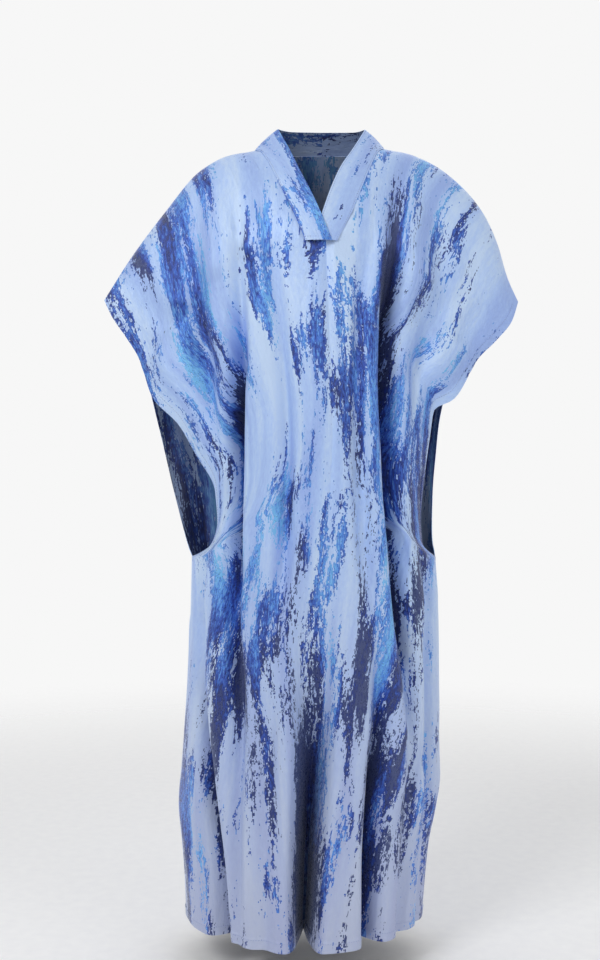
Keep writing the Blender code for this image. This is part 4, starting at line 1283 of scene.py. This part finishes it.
def thread():
    shader = Shader("thread")
    coordinates = shader.add("ShaderNodeTexCoord").outputs["Object"]
    noise = shader.add("ShaderNodeTexNoise", {"Vector": coordinates, "Scale": 900.0, "Detail": 2.0}).outputs[0]
    shader.set(
        Base_Color=shader.ramp(noise, [(0.35, "#7488BE"), (0.65, "#A9B9E2")]),
        Roughness=0.5,
        Sheen_Weight=0.3,
        Normal=shader.add("ShaderNodeBump", {"Height": noise, "Strength": 0.5, "Distance": 0.0002}).outputs[0],
    )
    return shader.material


def floor_material():
    shader = Shader("floor")
    coordinates = shader.add("ShaderNodeTexCoord").outputs["Object"]
    noise = shader.add("ShaderNodeTexNoise", {"Vector": coordinates, "Scale": 40.0, "Detail": 4.0}).outputs[0]
    away = shader.add("ShaderNodeVectorMath", {0: coordinates}, operation="LENGTH").outputs["Value"]
    shader.set(
        Base_Color=shader.ramp(noise, [(0.3, "#F4F4F5"), (0.7, "#F8F8F8")]),
        Roughness=0.75,
        Alpha=shader.step(away, FLOOR_FADE[1], FLOOR_FADE[0]),
    )
    return shader.material


def studio_world():
    """Pale all round, brighter behind the robe and dimmer in front of it, so that its folds keep their shade."""
    world = bpy.data.worlds.new("studio")
    world.use_nodes = True
    tree = world.node_tree
    direction = tree.nodes.new("ShaderNodeTexCoord")
    parts = tree.nodes.new("ShaderNodeSeparateXYZ")
    light = tree.nodes.new("ShaderNodeMapRange")
    light.interpolation_type = "SMOOTHSTEP"
    light.inputs["From Min"].default_value = WORLD_TURN[0]
    light.inputs["From Max"].default_value = WORLD_TURN[1]
    light.inputs["To Min"].default_value = WORLD_DIM
    light.inputs["To Max"].default_value = WORLD_BRIGHT
    tree.links.new(direction.outputs["Generated"], parts.inputs[0])
    tree.links.new(parts.outputs[1], light.inputs["Value"])
    tree.links.new(light.outputs[0], tree.nodes["Background"].inputs["Strength"])
    tree.nodes["Background"].inputs["Color"].default_value = (1.0, 1.0, 1.0, 1.0)
    return world


# Pieces
def panel(side, facing):
    shares = scene_shares()
    outer, wall, _ = panel_walls(side, facing, shares, FINE)
    dressed, uv, deep = dress(side, facing, outer, wall)
    return dressed, wall, uv, deep[..., None]


def slit_line(side, facing, outer, wall):
    u = np.array([lengths(row) for row in outer])
    return line_at_edge(outer, wall, u, scene_shares(), SLIT_STITCH_INSET, STITCH_ENDS, SLIT_END - STITCH_ENDS)


def hem_line(outer, wall):
    row = int(np.argmin(abs(scene_shares() - (1 - HEM_STITCH_INSET / CLOTH_LENGTH))))
    return outer[row], -wall[row]


def build_fronts(cloth, reverse, sewing):
    for name, side in (("front_right", -1), ("front_left", 1)):
        outer, wall, uv, deep = panel(side, -1)
        piece = cloth_mesh(f"{name}_cloth", outer, wall, uv, deep, [cloth, reverse])
        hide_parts(name)
        sewn = stitches(f"{name}_stitches", [slit_line(side, -1, outer, wall), hem_line(outer, wall)], sewing)


def build_back(cloth, reverse, sewing):
    halves = {side: panel(side, 1) for side in (-1, 1)}
    joined = []
    for right, left in zip(halves[-1], halves[1]):
        middle = (right[:, :1] + left[:, :1]) / 2
        joined.append(np.concatenate([right[:, :0:-1], middle, left[:, 1:]], axis=1))
    outer, wall, uv, deep = joined
    piece = cloth_mesh("back_cloth", outer, wall, uv, deep, [cloth, reverse])
    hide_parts("back")
    lines = [slit_line(side, 1, *halves[side][:2]) for side in (-1, 1)] + [hem_line(outer, wall)]
    sewn = stitches("back_stitches", lines, sewing)


def build_bands(cloths, reverse, sewing):
    for name, side in (("neck_band_right", -1), ("neck_band_left", 1)):
        outer, wall = band_grid(side, FINE)
        middle = lengths(outer[len(outer) // 2])
        across = np.linspace(0, BAND_WIDTH, len(outer)) + (BAND_CUT_ASIDE if side > 0 else 0.0)
        uv = np.stack(np.broadcast_arrays(across[:, None], middle[None]), axis=-1)
        piece = cloth_mesh(f"{name}_cloth", outer, wall, uv, np.zeros(outer.shape[:2]), [cloths[side], reverse])
        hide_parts(name)
        rows = [round(share * (len(outer) - 1)) for share in BAND_STITCH_ROWS]
        lines = [(outer[row], -wall[row]) for row in rows]
        if side < 0:
            end = int(np.argmin(abs(middle - BAND_END_INSET)))
            lines.append((outer[:, end], -wall[:, end]))
        sewn = stitches(f"{name}_stitches", lines, sewing)


# Studio
def aim(thing, target):
    direction = Vector(target) - thing.location
    thing.rotation_euler = direction.to_track_quat("-Z", "Y").to_euler()


def studio():
    floor = bpy.data.meshes.new("floor")
    reach = FLOOR_REACH
    corners = [(-reach, -reach, 0), (reach, -reach, 0), (reach, reach, 0), (-reach, reach, 0)]
    floor.from_pydata(corners, [], [(0, 1, 2, 3)])
    floor.materials.append(floor_material())
    ground = bpy.data.objects.new("floor", floor)
    ground.location = (0, 0, FLOOR_Z)
    bpy.context.scene.collection.objects.link(ground)
    for name, place, size, power in LIGHTS:
        lamp = bpy.data.lights.new(name, "AREA")
        lamp.size = size
        lamp.energy = power
        holder = bpy.data.objects.new(name, lamp)
        holder.location = place
        aim(holder, LIGHTS_AIM)
        bpy.context.scene.collection.objects.link(holder)
    bpy.context.scene.world = studio_world()
    bpy.context.scene.view_settings.view_transform = "Standard"
    eye = bpy.data.cameras.new("camera")
    eye.sensor_width = SENSOR
    eye.lens = SENSOR * CAMERA_DISTANCE / (PHOTO_HEIGHT * METRES_PER_PIXEL)
    camera = bpy.data.objects.new("camera", eye)
    camera.location = (CAMERA_X, -CAMERA_DISTANCE, CAMERA_Z)
    camera.rotation_euler = (math.pi / 2, 0, 0)
    bpy.context.scene.collection.objects.link(camera)
    bpy.context.scene.camera = camera


def main():
    studio()
    cloth = brocade("brocade", 3.2)
    reverse = brocade("brocade_reverse", 3.2, reverse=True)
    bands = {
        -1: brocade("band_brocade_right", 7.7, edge_strip=BAND_STRIP),
        1: brocade("band_brocade_left", 12.4, bare=BARE_BAND),
    }
    sewing = thread()
    build_fronts(cloth, reverse, sewing)
    build_back(cloth, reverse, sewing)
    build_bands(bands, reverse, sewing)


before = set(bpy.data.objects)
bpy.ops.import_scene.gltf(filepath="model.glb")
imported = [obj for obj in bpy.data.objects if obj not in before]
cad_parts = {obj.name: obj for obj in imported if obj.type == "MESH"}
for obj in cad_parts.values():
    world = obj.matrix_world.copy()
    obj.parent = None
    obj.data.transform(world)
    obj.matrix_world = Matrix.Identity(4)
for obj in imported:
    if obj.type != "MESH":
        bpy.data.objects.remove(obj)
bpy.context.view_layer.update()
main()
